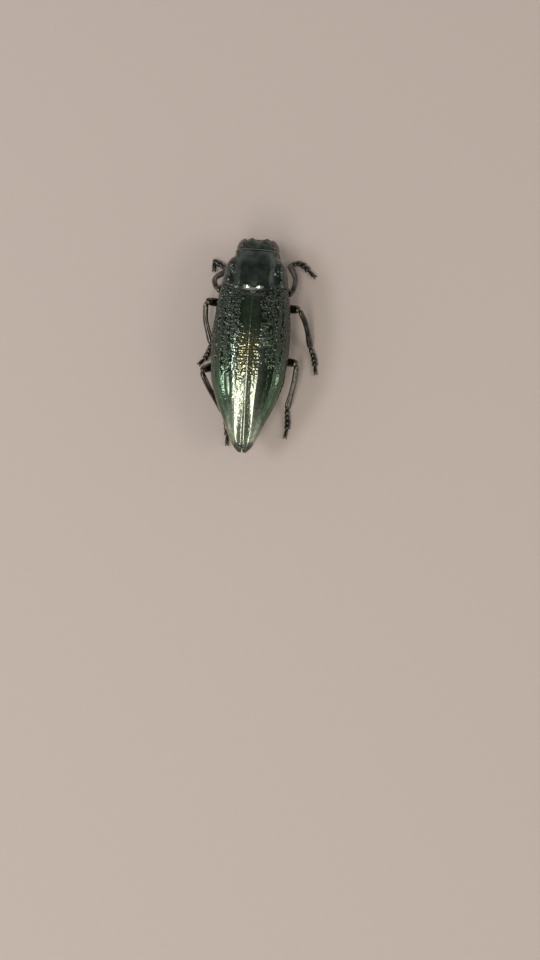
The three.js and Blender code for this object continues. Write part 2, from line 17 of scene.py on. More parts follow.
import bpy
import numpy as np
from mathutils import Euler, Matrix, Vector

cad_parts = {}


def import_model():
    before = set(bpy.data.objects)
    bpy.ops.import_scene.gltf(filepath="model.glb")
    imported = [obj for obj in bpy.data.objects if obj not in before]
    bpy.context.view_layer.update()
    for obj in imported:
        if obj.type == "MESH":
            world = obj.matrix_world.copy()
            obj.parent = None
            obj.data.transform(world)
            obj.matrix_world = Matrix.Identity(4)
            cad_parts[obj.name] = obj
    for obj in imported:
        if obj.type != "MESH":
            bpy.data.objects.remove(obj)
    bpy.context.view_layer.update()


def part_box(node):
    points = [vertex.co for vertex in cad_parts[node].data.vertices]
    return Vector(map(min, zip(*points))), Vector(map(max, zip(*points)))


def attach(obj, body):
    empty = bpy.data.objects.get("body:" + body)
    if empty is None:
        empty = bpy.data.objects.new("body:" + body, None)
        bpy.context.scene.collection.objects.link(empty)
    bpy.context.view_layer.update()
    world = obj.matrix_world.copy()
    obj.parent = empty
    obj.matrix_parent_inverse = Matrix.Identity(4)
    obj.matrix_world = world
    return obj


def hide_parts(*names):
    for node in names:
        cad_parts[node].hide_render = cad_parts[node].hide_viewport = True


LOG = logging.getLogger("jewel_beetle")
MM = 0.001

Array = np.ndarray
Point = tuple[float, float, float]
Span = tuple[float, float]

MOTTLING: Span = (0.35, 0.7)  # the part of a noise's range over which one colour gives way to another


class Side(Enum):
    """The two sides of the body, with the sign of x on each."""

    RIGHT = 1
    LEFT = -1

    @property
    def word(self) -> str:
        """The side's name as the nodes have it."""
        return self.name.lower()


class Slot(Enum):
    """The record's material slots."""

    WING_CASE = "wing_case"
    DARK_SHELL = "dark_shell"
    UNDERSIDE = "underside"
    LEG = "leg"
    HORN = "horn"
    EYE = "eye"


# ---------------------------------------------------------------- lines of the body


def cubic(t: Any, start: Any, leaving: Any, end: Any, arriving: Any) -> Any:
    """Finds a point of a smooth curve between two ends.

    Args:
        t: How far along the curve it is, from 0 to 1.
        start: The curve's start.
        leaving: Its slope there.
        end: The curve's end.
        arriving: Its slope there.

    Returns:
        The point.
    """
    return (
        start * (1 + 2 * t) * (1 - t) ** 2
        + leaving * t * (1 - t) ** 2
        + end * t * t * (3 - 2 * t)
        + arriving * t * t * (t - 1)
    )


class ProfileLine:
    """A smooth line through a few (place, value) stations that never overshoots them."""

    def __init__(self, *stations: tuple[float, float]) -> None:
        """Fits the line.

        Args:
            stations: Place and value of each station, places rising.
        """
        self.places, self.values = (np.array(column, float) for column in zip(*stations))
        steps = np.diff(self.values) / np.diff(self.places)
        before, after = steps[:-1], steps[1:]
        turns = before * after <= 0
        inner = np.where(turns, 0.0, 2 * before * after / np.where(turns, 1.0, before + after))
        self.slopes = np.concatenate([steps[:1], inner, steps[-1:]])

    def __call__(self, place: Array | float) -> Array:
        """Finds the line's value.

        Args:
            place: One place or many.

        Returns:
            The value at each place.
        """
        x = np.clip(place, self.places[0], self.places[-1])
        i = np.clip(np.searchsorted(self.places, x, side="right") - 1, 0, len(self.places) - 2)
        step = self.places[i + 1] - self.places[i]
        t = (x - self.places[i]) / step
        return cubic(t, self.values[i], self.slopes[i] * step, self.values[i + 1], self.slopes[i + 1] * step)


def smooth_step(start: float, end: float, place: Array | float) -> Array:
    """Returns 0 before start rising smoothly to 1 at end, whichever of the two comes first."""
    t = np.clip((np.asarray(place, float) - start) / (end - start), 0, 1)
    return t * t * (3 - 2 * t)


def bump(place: Array | float, middle: float, width: float) -> Array:
    """Returns a rounded hill of height 1 round the middle."""
    return np.exp(-(((np.asarray(place, float) - middle) / width) ** 2))


@dataclass(frozen=True)
class BodyLines:
    """How wide and how high the beetle is along its length. Heights are told from the waterline."""

    stance: float = 4.95
    cut: float = 0.07
    belly_shape: float = 1.75
    base: float = 23.5
    collar: float = 28.6
    nose: float = 30.55
    undercut: float = 0.35
    tuck: float = 0.12
    elytra_width: ProfileLine = ProfileLine(
        (0, 0.5), (0.6, 1.12), (1.8, 1.86), (4.5, 3.07), (7.5, 4.36),
        (11, 5.32), (16, 5.65), (21.5, 5.22), (23.1, 4.9), (23.6, 4.55),
    )  # fmt: skip
    elytra_top: ProfileLine = ProfileLine(
        (0, -0.35), (0.6, 0.2), (2, 0.95), (5, 1.95), (9, 2.8), (14, 3.3), (18, 3.4), (22, 3.1), (23.6, 2.6)
    )
    waterline: ProfileLine = ProfileLine((0, -0.75), (2, -0.6), (6, -0.32), (12, -0.1), (20, 0.05), (23.6, 0.1))
    belly: ProfileLine = ProfileLine(
        (0.5, -1.3), (2.5, -2.0), (6, -2.65), (10, -3.1), (15, -3.35), (19, -3.4), (23.5, -2.95)
    )
    pronotum_width: ProfileLine = ProfileLine(
        (23.5, 4.85), (24.3, 4.7), (25.7, 4.45), (26.5, 4.22), (27.1, 3.85), (27.6, 3.46), (28.05, 3.22), (28.6, 3.08)
    )
    pronotum_top: ProfileLine = ProfileLine((23.5, 2.72), (24.4, 2.95), (26, 3.0), (27.4, 2.7), (28.6, 2.2))
    carina: ProfileLine = ProfileLine((23.5, 0.12), (26.5, 0.05), (28.6, 0.15))
    throat: ProfileLine = ProfileLine((23.5, -2.95), (25.5, -3.05), (27.3, -2.6), (28.6, -2.05))
    head_width: ProfileLine = ProfileLine((28.6, 2.85), (29.5, 2.6), (30.0, 2.25), (30.36, 1.75), (30.55, 1.1))
    head_top: ProfileLine = ProfileLine(
        (28.6, 2.02), (29.2, 1.92), (29.7, 1.65), (30.08, 1.2), (30.4, 0.45), (30.55, -0.1)
    )
    head_under: ProfileLine = ProfileLine((28.6, -1.9), (29.4, -2.3), (30.03, -2.35), (30.4, -2.0), (30.55, -1.6))
    head_middle: ProfileLine = ProfileLine((28.6, 0.1), (30.05, -0.4), (30.55, -0.8))
    lobe_depth: float = 0.85
    lobe_inner: float = 1.6
    lobe_outer: float = 4.2

    def lobe(self, x: Array) -> Array:
        """Returns how far the pronotum's hind edge, and the wing cases' front one, reach back of the base."""
        return -self.lobe_depth * smooth_step(self.lobe_outer, self.lobe_inner, np.abs(x))


BODY = BodyLines()


def superellipse(angle: Array, width: Array, height: Array, power: float) -> tuple[Array, Array, Array, Array]:
    """Finds points of a squarish quarter oval and the way it faces there.

    Args:
        angle: 0 over the middle, a right angle out at the side.
        width: Half its width.
        height: Its height.
        power: 2 for an ellipse, more for a flatter top.

    Returns:
        Distance outwards, height, and the two parts of the outward direction.
    """
    sine, cosine = np.clip(np.sin(angle), 0, 1), np.clip(np.cos(angle), 0, 1)
    across, up = sine ** (2 / power), cosine ** (2 / power)
    facing_across, facing_up = across ** (power - 1) / width, up ** (power - 1) / height
    length = np.hypot(facing_across, facing_up)
    return width * across, height * up, facing_across / length, facing_up / length


@dataclass(frozen=True)
class PitField:
    """Pits strewn unevenly over a shell, about one pitch apart, as a beetle's punctures are."""

    pitch: float
    radius: float
    seed: int
    unevenness: float = 0.75
    table: int = 97

    def __call__(self, across: Array, along: Array) -> Array:
        """Finds how deep in a pit each place lies.

        Args:
            across: Millimetres across the shell.
            along: Millimetres along it.

        Returns:
            0 between the pits, up to 1 in the middle of the deepest ones.
        """
        random = np.random.default_rng(self.seed)
        middles = 0.5 + (random.random((self.table, self.table, 2)) - 0.5) * self.unevenness
        depths = 0.6 + 0.4 * random.random((self.table, self.table))
        column, row = np.floor(across / self.pitch).astype(int), np.floor(along / self.pitch).astype(int)
        deepest = np.zeros(np.broadcast(across, along).shape)
        for i in (-1, 0, 1):
            for j in (-1, 0, 1):
                c, r = (column + i) % self.table, (row + j) % self.table
                off_x = across / self.pitch - (column + i) - middles[c, r, 0]
                off_y = along / self.pitch - (row + j) - middles[c, r, 1]
                far = (off_x**2 + off_y**2) * (self.pitch / self.radius) ** 2
                deepest = np.maximum(deepest, depths[c, r] * np.exp(-(far**1.4)))
        return deepest


# ---------------------------------------------------------------- finishes


def linear(colour: str) -> tuple[float, float, float, float]:
    """Turns an sRGB hex colour such as "2f5a3c" into Blender's linear red, green, blue and alpha."""
    parts = [int(colour[i : i + 2], 16) / 255 for i in (0, 2, 4)]
    return (*(p / 12.92 if p <= 0.04045 else ((p + 0.055) / 1.055) ** 2.4 for p in parts), 1.0)


def scale(size_mm: float) -> float:
    """Returns the texture scale that makes a pattern's lumps or cells about size_mm across."""
    return 1 / (size_mm * MM)


def add_node(tree: bpy.types.NodeTree, kind: str, links: dict[Any, Any] | None = None, **settings: Any) -> Any:
    """Adds one shader node.

    Args:
        tree: The material's node tree.
        kind: The node's type, without its ShaderNode prefix.
        links: What each input gets, by its name or number: a socket, a node for the first of its outputs
            in use, an sRGB hex colour, or a plain value.
        settings: The node's own settings.

    Returns:
        The node.
    """
    node = tree.nodes.new("ShaderNode" + kind)
    for name, value in settings.items():
        setattr(node, name, value)
    for key, value in (links or {}).items():
        if isinstance(value, bpy.types.Node):
            value = next(socket for socket in value.outputs if socket.enabled)
        if isinstance(value, bpy.types.NodeSocket):
            tree.links.new(value, node.inputs[key])
        else:
            node.inputs[key].default_value = linear(value) if isinstance(value, str) else value
    return node


class Finish:
    """A finish of the beetle, whose material is made once and then shared."""

    name = ""
    made: dict[str, bpy.types.Material] = {}

    def material(self) -> bpy.types.Material:
        """Makes the finish's material the first time that it is asked for.

        Returns:
            The material.
        """
        if self.name not in Finish.made:
            material = bpy.data.materials.new(self.name)
            material.use_nodes = True
            tree = material.node_tree
            tree.nodes.clear()
            inputs = self.surface(tree, add_node(tree, "TexCoord").outputs["Object"])
            add_node(tree, "OutputMaterial", {"Surface": add_node(tree, "BsdfPrincipled", inputs)})
            Finish.made[self.name] = material
        return Finish.made[self.name]

    def surface(self, tree: bpy.types.NodeTree, place: Any) -> dict[str, Any]:
        """Lays out the finish's pattern.

        Args:
            tree: The material's node tree.
            place: The Object coordinates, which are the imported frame's own, in metres.

        Returns:
            What the surface shader's inputs get, by name.
        """
        raise NotImplementedError

    def blend(
        self, tree: bpy.types.NodeTree, value: Any, span: Span, first: Any, second: Any, unit: float = MM
    ) -> Any:
        """Adds a smooth change from one colour to another.

        Args:
            tree: The material's node tree.
            value: The node or socket whose value leads the change.
            span: That value where the change starts and where it ends.
            first: The colour before it, as a node or an sRGB hex value.
            second: The colour after it.
            unit: The span's unit: millimetres, or 1 for a plain number.

        Returns:
            The node that gives the colour.
        """
        start, end = (bound * unit for bound in span)
        share = add_node(tree, "MapRange", {0: value, 1: start, 2: end}, interpolation_type="SMOOTHSTEP")
        return add_node(tree, "Mix", {0: share, 6: first, 7: second}, data_type="RGBA")

    def leathery(self, tree: bpy.types.NodeTree, place: Any, cells_mm: float, grain_mm: float, depth_mm: float) -> Any:
        """Adds a net of fine cells, with a finer grain of half their depth over it.

        Args:
            tree: The material's node tree.
            place: The Object coordinates.
            cells_mm: How far across a cell is.
            grain_mm: How far across a grain is.
            depth_mm: How deep the net is.

        Returns:
            The node that gives the normal.
        """
        cells = add_node(tree, "TexVoronoi", {"Vector": place, "Scale": scale(cells_mm)})
        net = add_node(tree, "Bump", {"Height": cells, "Distance": depth_mm * MM})
        grain = add_node(tree, "TexNoise", {"Vector": place, "Scale": scale(grain_mm)})
        return add_node(tree, "Bump", {"Height": grain, "Distance": depth_mm / 2 * MM, "Normal": net})

    def from_middle(self, tree: bpy.types.NodeTree, across: Any, middle_x: float) -> Any:
        """Adds how far each place lies from the body's middle, and returns the node."""
        off = add_node(tree, "Math", {0: across, 1: middle_x}, operation="SUBTRACT")
        return add_node(tree, "Math", {0: off}, operation="ABSOLUTE")


@dataclass(frozen=True)
class MetallicWingCase(Finish):
    """Wing-case cuticle. Its colour is structural: many thin clear layers over black, which gloss like metal.

    The flanks are green and the nape is dark. A band along the seam goes from brassy to silvery; its pale
    colour is painted highlight, laid where the long softbox's highlight falls, and a darker strip at the base
    is painted shade. The places of the colours are told in millimetres, out from the body's middle or along
    it from the tips.
    """

    name: str = "layered_cuticle_wing_case"
    middle_x: float = 0.0
    tips_y: float = 0.0
    flank_rear: str = "526b50"
    flank_front: str = "2d3728"
    # Painted highlight: the band's pale brass and silver, lighter than the green cuticle round them, stand where the
    # long softbox's highlight falls.
    band_rear_highlight: str = "b2b8a6"
    silvery_highlight: str = "929d8b"
    gold_highlight: str = "a5a27f"
    nape: str = "60735a"
    tip: str = "4a4f40"
    # Painted shade: a darker colour along the front edge of the wing cases, where the vault turns down to the
    # pronotum.
    base: str = "323a30"
    tint: tuple[str, str] = ("9fb39a", "ffffff")
    tint_share: float = 0.6
    tint_mm: float = 0.5
    stray_mm: float = 0.8
    stray_lumps_mm: float = 1.1
    flank_darkens: Span = (6, 17)
    gold_ends: Span = (0.9, 1.6)
    band_colours: Span = (8.5, 13)
    nape_ends: Span = (0.8, 1.7)
    nape_starts: Span = (15, 18)
    band_ends: Span = (1.7, 2.8)
    tip_starts: Span = (1.9, 0.9)
    base_shade_starts: Span = (20.9, 22.1)
    rough_band: float = 0.16
    rough_flank: float = 0.13
    rough_changes: Span = (1.6, 2.6)
    grain_mm: float = 0.07
    cells_mm: float = 0.16
    depth_mm: float = 0.004

    def surface(self, tree: bpy.types.NodeTree, place: Any) -> dict[str, Any]:
        """Lays out the colours by their place on the body, with edges that stray a little, over a fine net.

        Args:
            tree: The material's node tree.
            place: The Object coordinates.

        Returns:
            What the surface shader's inputs get, by name.
        """
        parts = add_node(tree, "SeparateXYZ", {0: place})
        lumps = add_node(tree, "TexNoise", {"Vector": place, "Scale": scale(self.stray_lumps_mm), "Detail": 3})
        stray = {0: lumps, 1: self.stray_mm * MM, 2: -self.stray_mm / 2 * MM}
        stray = add_node(tree, "Math", stray, operation="MULTIPLY_ADD")
        side = self.from_middle(tree, parts.outputs[0], self.middle_x)
        side = add_node(tree, "Math", {0: side, 1: stray}, operation="ADD")
        along = add_node(tree, "Math", {0: parts.outputs[1], 1: self.tips_y}, operation="SUBTRACT")
        along = add_node(tree, "Math", {0: along, 1: stray}, operation="ADD")

        flank = self.blend(tree, along, self.flank_darkens, self.flank_rear, self.flank_front)
        # The seam band gets the painted highlight colours: pale brass beside the seam, silver further out, near white
        # towards the tips.
        middle = self.blend(tree, side, self.gold_ends, self.gold_highlight, self.silvery_highlight)
        band = self.blend(tree, along, self.band_colours, self.band_rear_highlight, middle)
        nape = self.blend(tree, side, self.nape_ends, self.nape, self.flank_front)
        band = self.blend(tree, along, self.nape_starts, band, nape)
        colour = self.blend(tree, side, self.band_ends, band, flank)
        colour = self.blend(tree, along, self.tip_starts, colour, self.tip)
        # Painted shade darkens the strip along the front edge.
        colour = self.blend(tree, along, self.base_shade_starts, colour, self.base)
        mottle = add_node(tree, "TexNoise", {"Vector": place, "Scale": scale(self.tint_mm)})
        tint = self.blend(tree, mottle, MOTTLING, *self.tint, unit=1)
        share = {0: self.tint_share, 6: colour, 7: tint}

        start, end = (bound * MM for bound in self.rough_changes)
        rough = {0: side, 1: start, 2: end, 3: self.rough_band, 4: self.rough_flank}
        return {
            "Base Color": add_node(tree, "Mix", share, data_type="RGBA", blend_type="MULTIPLY"),
            "Metallic": 1.0,
            "Roughness": add_node(tree, "MapRange", rough, interpolation_type="SMOOTHSTEP"),
            "Coat Weight": 0.8,
            "Coat Roughness": 0.1,
            "Normal": self.leathery(tree, place, self.cells_mm, self.grain_mm, self.depth_mm),
        }


@dataclass(frozen=True)
class DullCuticle(Finish):
    """Blackish cuticle of the pronotum and head, glossy like old bronze only where it is smooth."""

    name: str = "blackish_cuticle"
    dark: str = "2b312c"
    pale: str = "4a524b"
    metallic: float = 0.8
    rough_low: float = 0.3
    rough_high: float = 0.46
    grain_mm: float = 0.06
    cells_mm: float = 0.13
    depth_mm: float = 0.012
    coat: float = 0.15
    blotches_mm: float = 0.9
    rough_blotches: Span = (0.3, 0.7)

    def surface(self, tree: bpy.types.NodeTree, place: Any) -> dict[str, Any]:
        """Lays out a mottled dark ground with a fine leathery grain.

        Args:
            tree: The material's node tree.
            place: The Object coordinates.

        Returns:
            What the surface shader's inputs get, by name.
        """
        blotches = add_node(tree, "TexNoise", {"Vector": place, "Scale": scale(self.blotches_mm), "Detail": 3})
        start, end = self.rough_blotches
        rough = {0: blotches, 1: start, 2: end, 3: self.rough_low, 4: self.rough_high}
        return {
            "Base Color": self.blend(tree, blotches, MOTTLING, self.dark, self.pale, unit=1),
            "Metallic": self.metallic,
            "Roughness": add_node(tree, "MapRange", rough, interpolation_type="SMOOTHSTEP"),
            "Coat Weight": self.coat,
            "Coat Roughness": self.rough_low / 2,
            "Normal": self.leathery(tree, place, self.cells_mm, self.grain_mm, self.depth_mm),
        }


@dataclass(frozen=True)
class PronotumCuticle(DullCuticle):
    """Smooth blackish cuticle, with painted highlight spots before the wing cases and a painted highlight line behind
    the head.
    """

    name: str = "pronotum_cuticle"
    blotches_mm: float = 1.4
    middle_x: float = 0.0
    tips_y: float = 0.0
    # Painted highlight: two pale, glossy ovals at the pronotum's hind edge, where the lights glint.
    spot_middle: tuple[float, float] = (0.92, 23.08)
    spot_half: tuple[float, float] = (0.55, 0.2)
    spot_edge: Span = (0.6, 1.3)
    highlight_spot_colour: str = "c9cdbb"
    spot_rough: float = 0.12
    # Painted highlight: a pale line along the front rim, behind the head.
    collar_highlight_colour: str = "566259"
    collar: Span = (28.32, 28.42)
    rough_middle: float = 0.3
    rough_side: float = 0.19
    rough_changes: Span = (1.9, 2.9)
    grain_depth_mm: float = 0.002

    def surface(self, tree: bpy.types.NodeTree, place: Any) -> dict[str, Any]:
        """Lays out a near even ground, and the painted highlight spots and line by their place on the body.

        Args:
            tree: The material's node tree.
            place: The Object coordinates.

        Returns:
            What the surface shader's inputs get, by name.
        """
        parts = add_node(tree, "SeparateXYZ", {0: place})
        side, along = self.from_middle(tree, parts.outputs[0], self.middle_x), parts.outputs[1]
        blotches = add_node(tree, "TexNoise", {"Vector": place, "Scale": scale(self.blotches_mm)})
        colour = self.blend(tree, blotches, MOTTLING, self.dark, self.pale, unit=1)

        # Painted highlight: the two spots get a pale colour, and a lower roughness of their own.
        squares = []
        x, s = self.spot_middle
        for value, middle, half in zip((side, along), (x, s + self.tips_y / MM), self.spot_half):
            off = add_node(tree, "Math", {0: value, 1: middle * MM}, operation="SUBTRACT")
            off = add_node(tree, "Math", {0: off, 1: half * MM}, operation="DIVIDE")
            squares.append(add_node(tree, "Math", {0: off, 1: 2.0}, operation="POWER"))
        far = add_node(tree, "Math", dict(enumerate(squares)), operation="ADD")
        start, end = self.spot_edge
        highlight_spot_share = add_node(tree, "MapRange", {0: far, 1: start, 2: end, 3: 1, 4: 0}, interpolation_type="SMOOTHSTEP")
        colour = add_node(tree, "Mix", {0: highlight_spot_share, 6: colour, 7: self.highlight_spot_colour}, data_type="RGBA")

        start, end = (bound * MM for bound in self.rough_changes)
        rough = {0: side, 1: start, 2: end, 3: self.rough_middle, 4: self.rough_side}
        rough = add_node(tree, "MapRange", rough, interpolation_type="SMOOTHSTEP")
        grain = add_node(tree, "TexNoise", {"Vector": place, "Scale": scale(self.grain_mm)})
        # The pale line along the front rim is painted highlight.
        collar = [s * MM + self.tips_y for s in self.collar]
        return {
            "Base Color": self.blend(tree, along, collar, colour, self.collar_highlight_colour, unit=1),
            "Metallic": self.metallic,
            "Roughness": add_node(tree, "Mix", {0: highlight_spot_share, 2: rough, 3: self.spot_rough}),
            "Coat Weight": 0.5,
            "Coat Roughness": 0.12,
            "Normal": add_node(tree, "Bump", {"Height": grain, "Distance": self.grain_depth_mm * MM}),
        }


BLACKISH = DullCuticle()
BRONZE_BELLY = DullCuticle("bronzed_belly_cuticle", "3c4a33", "5d5a3a", 0.95, 0.28, 0.4, 0.06, 0.15, 0.012, 0.2)
BRONZE_LEG = DullCuticle("bronzed_leg_cuticle", "231f19", "554c3b", 0.9, 0.1, 0.17, 0.07, 0.16, 0.004, 1.0)
# Painted highlight: the shield's pale colours stand in for the light that it reflects; its low roughness is its own
# gloss.
SHIELD_HIGHLIGHT_CUTICLE = DullCuticle("shield_cuticle_painted_highlight", "8d9484", "b9bda9", 0.95, 0.14, 0.2, 0.08, 0.2, 0.003, 0.5)
BLACK_HORN = DullCuticle("jaw_horn", "17130f", "2c2018", 0.15, 0.22, 0.38, 0.05, 0.12, 0.006, 0.4)


@dataclass(frozen=True)
class FacetedEye(Finish):
    """Compound eye: a dark brown bulge of clear, tightly packed facets, glossy all over."""

    name: str = "compound_eye_facets"
    deep: str = "231b18"
    brown: str = "4a3a31"
    mottling: Span = (0.3, 0.7)
    mottle_mm: float = 0.5
    facet_mm: float = 0.06  # real facets are about 0.02 mm, drawn three times as coarse so that they show
    bulge_mm: float = 0.012

    def surface(self, tree: bpy.types.NodeTree, place: Any) -> dict[str, Any]:
        """Lays out facets as a fine bump over a mottled brown.

        Args:
            tree: The material's node tree.
            place: The Object coordinates.

        Returns:
            What the surface shader's inputs get, by name.
        """
        mottle = add_node(tree, "TexNoise", {"Vector": place, "Scale": scale(self.mottle_mm)})
        facets = {"Vector": place, "Scale": scale(self.facet_mm), "Randomness": 0.25}
        facets = add_node(tree, "TexVoronoi", facets)
        return {
            "Base Color": self.blend(tree, mottle, self.mottling, self.deep, self.brown, unit=1),
            "Roughness": 0.25,
            "IOR": 1.5,
            "Coat Weight": 0.6,
            "Coat Roughness": 0.08,
            "Normal": add_node(tree, "Bump", {"Height": facets, "Distance": -self.bulge_mm * MM}),
        }


@dataclass(frozen=True)
class PaleFloor(Finish):
    """Matt painted board, which has no gloss and a barely visible tooth."""

    name: str = "matt_painted_board"
    colours: tuple[str, str] = ("d8c8be", "ddccc2")
    tooth_mm: float = 0.8
    depth_mm: float = 0.01

    def surface(self, tree: bpy.types.NodeTree, place: Any) -> dict[str, Any]:
        """Lays out the board's tooth, which also clouds its paint a little.

        Args:
            tree: The material's node tree.
            place: The Object coordinates.

        Returns:
            What the surface shader's inputs get, by name.
        """
        tooth = add_node(tree, "TexNoise", {"Vector": place, "Scale": scale(self.tooth_mm), "Detail": 3})
        first, second = self.colours
        return {
            "Base Color": add_node(tree, "Mix", {0: tooth, 6: first, 7: second}, data_type="RGBA"),
            "Roughness": 0.85,
            "Normal": add_node(tree, "Bump", {"Height": tooth, "Distance": self.depth_mm * MM}),
        }


# ---------------------------------------------------------------- the bench


@dataclass
class Bench:
    """The place where pieces are modelled, and from which they go to their own place in the model."""

    middle_x: float
    tips_y: float
    crease: float = 35
    shell_crease: float = 60
    delivered: int = 0

    def deselect(self) -> None:
        """Leaves edit mode and lets go of everything."""
        if bpy.context.object and bpy.context.object.mode != "OBJECT":
            bpy.ops.object.mode_set(mode="OBJECT")
        bpy.ops.object.select_all(action="DESELECT")

    def pick(self, *pieces: bpy.types.Object) -> None:
        """Selects only these pieces, the first of them active."""
        self.deselect()
        for piece in pieces:
            piece.select_set(True)
        bpy.context.view_layer.objects.active = pieces[0]

    def edit(self) -> None:
        """Opens the active piece in edit mode, with all of it selected."""
        bpy.ops.object.mode_set(mode="EDIT")
        bpy.ops.mesh.select_all(action="SELECT")

    def close_outwards(self) -> None:
        """Turns every face of the piece in edit mode outwards, and leaves edit mode."""
        bpy.ops.mesh.select_all(action="SELECT")
        bpy.ops.mesh.normals_make_consistent(inside=False)
        bpy.ops.object.mode_set(mode="OBJECT")

    def settle(self, piece: bpy.types.Object, **modifiers: dict[str, Any]) -> None:
        """Adds modifiers and applies them in turn.

        Args:
            piece: The piece to finish.
            modifiers: Each modifier's type, with its settings.
        """
        self.pick(piece)
        for kind, settings in modifiers.items():
            modifier = piece.modifiers.new(kind, kind)
            for name, value in settings.items():
                setattr(modifier, name, value)
            bpy.ops.object.modifier_apply(modifier=modifier.name)

    def join(self, pieces: Sequence[bpy.types.Object]) -> bpy.types.Object:
        """Joins pieces into the first of them.

        Args:
            pieces: The pieces, or one alone.

        Returns:
            The joined piece.
        """
        self.pick(*pieces)
        if len(pieces) > 1:
            bpy.ops.object.join()
        return pieces[0]

    def points(self, piece: bpy.types.Object) -> Array:
        """Reads where a piece's vertices are.

        Args:
            piece: The piece.

        Returns:
            A row of three numbers for each vertex.
        """
        co = np.zeros(len(piece.data.vertices) * 3, np.float32)
        piece.data.vertices.foreach_get("co", co)
        return co.reshape(-1, 3).astype(float)

    def move(self, piece: bpy.types.Object, points: Array) -> None:
        """Moves a piece's vertices to the points given."""
        piece.data.vertices.foreach_set("co", points.astype(np.float32).ravel())
        piece.data.update()

    def ball(self, segments: int, ring_count: int) -> tuple[bpy.types.Object, Array]:
        """Adds a ball of radius 1 to shape further.

        Args:
            segments: How many faces it has round it.
            ring_count: How many from pole to pole.

        Returns:
            The ball and its points.
        """
        self.deselect()
        bpy.ops.mesh.primitive_uv_sphere_add(segments=segments, ring_count=ring_count, radius=1, calc_uvs=False)
        return bpy.context.object, self.points(bpy.context.object)

    def shell(self, rings: Array, rim: float) -> bpy.types.Object:
        """Shapes a closed shell from a ball, ring by ring, and lifts it from the waterline to its stance.

        Args:
            rings: Points by row, then round the row, between the rounded ends.
            rim: Radius of the rounded ends.

        Returns:
            The shell.
        """
        rings = rounded_ends(rings, rim)
        rings[..., 2] += BODY.stance
        rows, columns = rings.shape[0] - 1, rings.shape[1]
        piece, co = self.ball(columns, rows)
        row = np.rint(np.arccos(np.clip(co[:, 2], -1, 1)) / np.pi * rows).astype(int)
        column = np.rint(np.arctan2(co[:, 1], co[:, 0]) / (2 * np.pi) * columns).astype(int) % columns
        self.move(piece, rings[row, column])
        self.edit()
        self.close_outwards()
        return piece

    def deliver(
        self, piece: bpy.types.Object, node: str, slot: Slot, finish: Finish, crease: float | None = None
    ) -> None:
        """Puts a finished piece where its CAD node is, dresses it and reports it.

        Args:
            piece: The piece, in the bench's millimetres.
            node: The CAD node that it stands for, which also names it.
            slot: The record's material slot; not used.
            finish: The finish that it wears.
            crease: Edges sharper than this many degrees stay sharp.
        """
        self.pick(piece)
        bpy.ops.object.transform_apply(location=True, rotation=True, scale=True)
        piece.data.transform(Matrix.Translation((self.middle_x, self.tips_y, 0)) @ Matrix.Scale(MM, 4))
        bpy.ops.object.shade_smooth_by_angle(angle=math.radians(crease or self.crease))
        piece.name = piece.data.name = f"{node}_detail"
        piece.data.materials.clear()
        piece.data.materials.append(finish.material())
        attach(piece, "root")
        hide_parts(node)
        self.delivered += 1
        LOG.info("%s: %d faces, finish %s", piece.name, len(piece.data.polygons), finish.name)

    def deliver_shell(self, rings: Array, rim: float, node: str, slot: Slot, finish: Finish) -> None:
        """Shapes a closed shell from its rings, and delivers it as deliver does."""
        self.deliver(self.shell(rings, rim), node, slot, finish, self.shell_crease)


def rounded_ends(rings: Array, radius: float, closing: float = 0.45) -> Array:
    """Rounds the two ends of a row of rings and closes each end at a point.

    Args:
        rings: Open rings by row, the end ones short of the shell's ends by the radius.
        radius: Radius of the rounding, in millimetres.
        closing: Size of the ring before the closing point, as a share of the one before it.

    Returns:
        The rings with their closed ends.
    """
    ends = []
    for end, inner in ((0, 1), (-1, -2)):
        ring = rings[end]
        centre = ring.mean(axis=0)
        outward = centre - rings[inner].mean(axis=0)
        outward *= radius / np.linalg.norm(outward)
        inward = centre - ring
        reach = np.linalg.norm(inward, axis=1, keepdims=True).clip(1e-6)
        added = [
            ring + inward / reach * np.minimum(radius * (1 - math.cos(turn)), reach / 2) + outward * math.sin(turn)
            for turn in (math.pi / 5, math.pi / 2)
        ]
        added.append(centre + outward + (added[-1] - centre - outward) * closing)
        added.append(np.broadcast_to(centre + outward, ring.shape))
        ends.append(np.array(added))
    return np.concatenate([ends[0][::-1], rings, ends[1]])


# ---------------------------------------------------------------- wing cases


